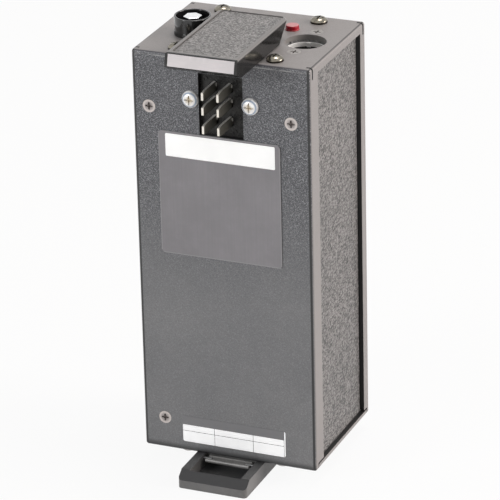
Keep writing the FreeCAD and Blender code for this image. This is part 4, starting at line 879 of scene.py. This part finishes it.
# Pan heads with a painted dark reflection in a ring round the foot of the dome, above a seat
def makeRimmedScrew(name, look, seat):
    material, tree, shader, colour, roughness = startFinish(name, look)
    fadeFrom, fadeTo = look["rimFade"]
    # Painted dark reflection round the foot of the dome
    ring = rise(tree, axes(tree)[2], seat + fadeFrom, seat + fadeTo, 1.0, 0.0)
    colour = mix(tree, ring, colour, rgb(*look["paintedRimTone"]))
    endGrained(tree, shader, colour, roughness, look)
    return material


# Distance from the nearest of several screw axes, which all point along Y
def axisAway(tree, places):
    x, _, z = axes(tree)
    nearest = 1.0
    for placeX, placeZ in places:
        across, upright = minus(tree, x, placeX), minus(tree, z, placeZ)
        squares = plus(tree, both(tree, across, across), both(tree, upright, upright))
        nearest = calc(tree, "MINIMUM", calc(tree, "SQRT", squares), nearest)
    return nearest


# Heads with a stained recess and a ring of another tone near the rim, in shares of the radius
def makeRingedScrew(name, look):
    material, tree, shader, colour, roughness = startFinish(name, look)
    share = calc(tree, "DIVIDE", axisAway(tree, look["places"]), look["radius"])
    ring = both(tree, rise(tree, share, *look["ringRise"]),
                rise(tree, share, *look["ringFall"], 1.0, 0.0))
    colour = mix(tree, ring, colour, rgb(*look["ringTone"]))
    stain = rise(tree, share, *look["stainFall"], look["stainShare"], 0.0)
    colour = mix(tree, stain, colour, rgb(*look["stainTone"]))
    endGrained(tree, shader, colour, roughness, look)
    return material


for finish, members in screwNodes.items():
    look = screwLooks[finish]
    if "paintedRimTone" in look:
        screwMaterial = makeRimmedScrew(finish, look, caseHigh.z)
    elif "ringTone" in look:
        screwMaterial = makeRingedScrew(finish, look)
    else:
        screwMaterial = plainFinish(finish, look)
    for node in members:
        dress(node, screwMaterial)

# Round socket, and push button: turned black collar with a chromed six-sided cap
roofLooks = {
    "socket_shell": {
        "dark": (0.1, (1.02, 1.0, 0.98)), "light": (0.34,), "patch": 2.0 * mm, "smudge": 0.6,
        "rough": (0.36, 0.5), "metal": 0.2, "grain": 0.5 * mm, "relief": 0.02 * mm},
    # The ring's near-white tone is a painted reflection of the bright surround
    "socket_ring": {
        "dark": (0.92, (1.0, 0.99, 0.98)), "light": (1.0, (1.0, 0.995, 0.99)),
        "patch": 3 * mm, "smudge": 0.4, "rough": (0.24, 0.32), "coat": 0.6,
        "grain": 0.6 * mm, "relief": 0.003 * mm},
    "socket_insert": {
        "dark": (0.015,), "light": (0.03,), "patch": 3 * mm, "rough": (0.4, 0.5)},
    "socket_contacts": {
        "dark": (0.5, (1.0, 0.8, 0.42)), "light": (0.68, (1.0, 0.84, 0.5)), "patch": 1 * mm,
        "rough": (0.25, 0.4), "metal": 1.0},
    "button_collar": {
        "dark": (0.008,), "light": (0.014,), "patch": 4 * mm, "smudge": 0.4,
        "rough": (0.08, 0.14), "coat": 0.4, "grain": 1.6 * mm, "relief": 0.001 * mm},
    "button_cap": {
        "dark": (0.8,), "light": (0.95, (0.99, 1.0, 1.01)), "patch": 2 * mm, "smudge": 0.4,
        "rough": (0.08, 0.18), "metal": 1.0, "grain": 0.5 * mm, "relief": 0.004 * mm},
}
for node, look in roofLooks.items():
    dress(node, plainFinish(node + "Finish", look))

# Knurl round the collar's base: upright ribs, one every four degrees
knurl = {
    "count": 90, "ribWidth": 0.26 * mm, "ribDepth": 0.34 * mm, "ribHeight": 1.3 * mm,
    "radius": 7.38 * mm, "base": 0.8 * mm,
}


def makeKnurlTree(material):
    tree = bpy.data.node_groups.new("collarKnurl", "GeometryNodeTree")
    tree.interface.new_socket("Geometry", in_out="OUTPUT", socket_type="NodeSocketGeometry")
    for label, kind in (("Count", "NodeSocketInt"), ("Radius", "NodeSocketFloat"),
                        ("Rib size", "NodeSocketVector"), ("Centre", "NodeSocketVector")):
        tree.interface.new_socket(label, in_out="INPUT", socket_type=kind)
    given = tree.nodes.new("NodeGroupInput").outputs
    result = tree.nodes.new("NodeGroupOutput")
    ring = add(tree, "GeometryNodeMeshCircle", {"Vertices": given["Count"],
                                                "Radius": given["Radius"]})
    rib = add(tree, "GeometryNodeMeshCube", {"Size": given["Rib size"]})
    position = add(tree, "GeometryNodeInputPosition")
    outward = add(tree, "FunctionNodeAlignRotationToVector", {"Vector": position.outputs[0]},
                  axis="X")
    ribs = add(tree, "GeometryNodeInstanceOnPoints", {
        "Points": ring.outputs[0], "Instance": rib.outputs[0], "Rotation": outward.outputs[0]})
    moved = add(tree, "GeometryNodeTransform", {"Geometry": ribs.outputs[0],
                                                "Translation": given["Centre"]})
    real = add(tree, "GeometryNodeRealizeInstances", {0: moved.outputs[0]})
    painted = add(tree, "GeometryNodeSetMaterial", {"Geometry": real.outputs[0],
                                                    "Material": material})
    tree.links.new(painted.outputs[0], result.inputs[0])
    return tree


# Runs a tree on an empty mesh and keeps the plain result
def growPiece(name, tree, values):
    carrier = bpy.data.objects.new(name + "_carrier", bpy.data.meshes.new(name + "_carrier"))
    scene.collection.objects.link(carrier)
    modifier = carrier.modifiers.new("grow", "NODES")
    modifier.node_group = tree
    for item in tree.interface.items_tree:
        if item.in_out == "INPUT":
            modifier[item.identifier] = values[item.name]
    evaluated = carrier.evaluated_get(bpy.context.evaluated_depsgraph_get())
    mesh = bpy.data.meshes.new_from_object(evaluated)
    carrier.modifiers.remove(modifier)
    bpy.data.objects.remove(carrier)
    piece = bpy.data.objects.new(name, mesh)
    scene.collection.objects.link(piece)
    return piece


collarLow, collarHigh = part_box("button_collar")
collarCentre = (collarLow + collarHigh) / 2
collarMaterial = nodes["button_collar"].data.materials[0]
knurlPiece = growPiece("collar_knurl", makeKnurlTree(collarMaterial), {
    "Count": knurl["count"], "Radius": knurl["radius"] - knurl["ribDepth"] / 2,
    "Rib size": (knurl["ribDepth"], knurl["ribWidth"], knurl["ribHeight"]),
    "Centre": (collarCentre.x, collarCentre.y, caseHigh.z + knurl["base"]),
})
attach(knurlPiece, "case")
print("collar knurled")

# Signal lamp: deep red lens over a clear bulb, with a painted pale sheen on its flat top
lampLens = {
    "dark": (0.36, (1.0, 0.004, 0.03)), "light": (0.52, (1.0, 0.012, 0.06)), "patch": 2 * mm,
    "rough": (0.14, 0.22), "clear": 0.3, "ior": 1.4, "grain": 0.8 * mm, "relief": 0.002 * mm,
    "topSheenTone": (0.68, (1.0, 0.42, 0.43)), "topTilt": (0.5, 0.95),
}


def makeLampLens(look):
    material, tree, shader, colour, roughness = startFinish("lampRedLens", look)
    # Painted sheen: the flat top takes a paler tone
    top = rise(tree, facing(tree)[2], *look["topTilt"])
    colour = mix(tree, top, colour, rgb(*look["topSheenTone"]))
    endGrained(tree, shader, colour, roughness, look)
    return material


dress("lamp_lens", makeLampLens(lampLens))

# Foot: satin casting, paler on its upright faces, with painted shade: darkest on its ramp, dark on
# its upward faces such as the rails
footPaint = {
    "dark": (0.115, (1.03, 1.0, 0.98)), "light": (0.15, (1.03, 1.0, 0.99)), "patch": 14 * mm,
    "smudge": 0.4, "rough": (0.42, 0.55), "grain": 0.7 * mm, "relief": 0.012 * mm,
    "railShadeTone": (0.06, (1.0, 1.0, 1.01)), "railTilt": (0.9, 0.98),
    "rampShadeTone": (0.026, (1.0, 0.99, 1.04)), "rampTilt": (0.15, 0.35),
}


def makeFootPaint(look):
    material, tree, shader, colour, roughness = startFinish("footCastingPaint", look)
    upward = facing(tree)[2]
    # Painted shade on the ramp and on the upward faces
    colour = mix(tree, rise(tree, upward, *look["rampTilt"]), colour, rgb(*look["rampShadeTone"]))
    colour = mix(tree, rise(tree, upward, *look["railTilt"]), colour, rgb(*look["railShadeTone"]))
    endGrained(tree, shader, colour, roughness, look)
    return material


dress("foot_hook", makeFootPaint(footPaint))

footBar = {
    "dark": (0.2, (1.03, 1.0, 0.97)), "light": (0.3, (1.03, 1.0, 0.97)), "patch": 6 * mm,
    "smudge": 0.4, "rough": (0.42, 0.55), "metal": 0.4, "relief": 0.004 * mm,
    "lineSize": 0.25 * mm, "stretch": (0.05, 1.0, 1.0), "lineShare": 0.35, "lineTone": (0.24,),
}
dress("foot_bar", brushedFinish("footBarSteel", footBar))

# Pieces inside the case, and the small metal parts of the latch
innerLooks = {
    "sheetSteel": {
        "dark": (0.34,), "light": (0.46, (1.0, 1.0, 1.02)), "patch": 18 * mm, "metal": 0.9,
        "rough": (0.38, 0.5)},
    "springSteel": {
        "dark": (0.36,), "light": (0.5,), "patch": 4 * mm, "metal": 1.0, "rough": (0.25, 0.36)},
    "dullSteel": {
        "dark": (0.1,), "light": (0.18,), "patch": 3 * mm, "metal": 0.7, "rough": (0.45, 0.6)},
    "blackMoulding": {
        "dark": (0.02,), "light": (0.035,), "patch": 6 * mm, "rough": (0.3, 0.42)},
    "brassParts": {
        "dark": (0.5, (1.0, 0.78, 0.4)), "light": (0.66, (1.0, 0.82, 0.48)), "patch": 3 * mm,
        "metal": 1.0, "rough": (0.28, 0.4)},
    "clearGlass": {
        "dark": (0.88,), "light": (0.94,), "patch": 4 * mm, "rough": (0.02, 0.05), "clear": 1.0},
    "cellCan": {
        "dark": (0.5,), "light": (0.62, (1.0, 1.0, 0.98)), "patch": 10 * mm, "metal": 1.0,
        "rough": (0.26, 0.38)},
    "nickelStrap": {
        "dark": (0.5, (1.0, 0.97, 0.9)), "light": (0.62, (1.0, 0.97, 0.92)), "patch": 5 * mm,
        "metal": 1.0, "rough": (0.3, 0.42)},
    "rubberPad": {
        "dark": (0.02,), "light": (0.035,), "patch": 8 * mm, "rough": (0.75, 0.9),
        "grain": 1.0 * mm, "relief": 0.05 * mm},
    "boardLaminate": {
        "dark": (0.1, (0.5, 1.4, 0.6)), "light": (0.14, (0.5, 1.4, 0.6)), "patch": 10 * mm,
        "rough": (0.3, 0.45)},
    "coreLaminations": {
        "dark": (0.06, (1.05, 1.0, 0.95)), "light": (0.1, (1.05, 1.0, 0.95)),
        "patch": 6 * mm, "rough": (0.5, 0.65)},
    "windingTape": {
        "dark": (0.5, (1.0, 0.76, 0.2)), "light": (0.62, (1.0, 0.78, 0.25)), "patch": 5 * mm,
        "rough": (0.35, 0.5)},
    "capacitorSleeve": {
        "dark": (0.06, (0.5, 0.8, 2.0)), "light": (0.09, (0.5, 0.8, 2.0)), "patch": 8 * mm,
        "rough": (0.25, 0.35)},
    "blackAnodised": {
        "dark": (0.03,), "light": (0.05,), "patch": 8 * mm, "metal": 0.6, "rough": (0.4, 0.5)},
}
innerNodes = {
    "sheetSteel": ["side_panel_left", "side_panel_right", "latch_bracket", "battery_tray",
                   "deck_plate"],
    "springSteel": ["latch_pin", "latch_spring", "button_spring"],
    "dullSteel": ["foot_pins"],
    "blackMoulding": ["switch_body", "lamp_holder", "transistors"],
    "brassParts": ["switch_lugs", "board_standoffs", "fuse_clips"],
    "clearGlass": ["lamp_bulb", "fuse_link"],
    "cellCan": ["battery_cells"],
    "nickelStrap": ["cell_links"],
    "rubberPad": ["battery_pad"],
    "boardLaminate": ["converter_board"],
    "coreLaminations": ["transformer_core"],
    "windingTape": ["transformer_winding"],
    "capacitorSleeve": ["storage_capacitors"],
    "blackAnodised": ["heat_sink"],
}
for finish, members in innerNodes.items():
    innerMaterial = plainFinish(finish, innerLooks[finish])
    for node in members:
        dress(node, innerMaterial)
print("all nodes dressed")
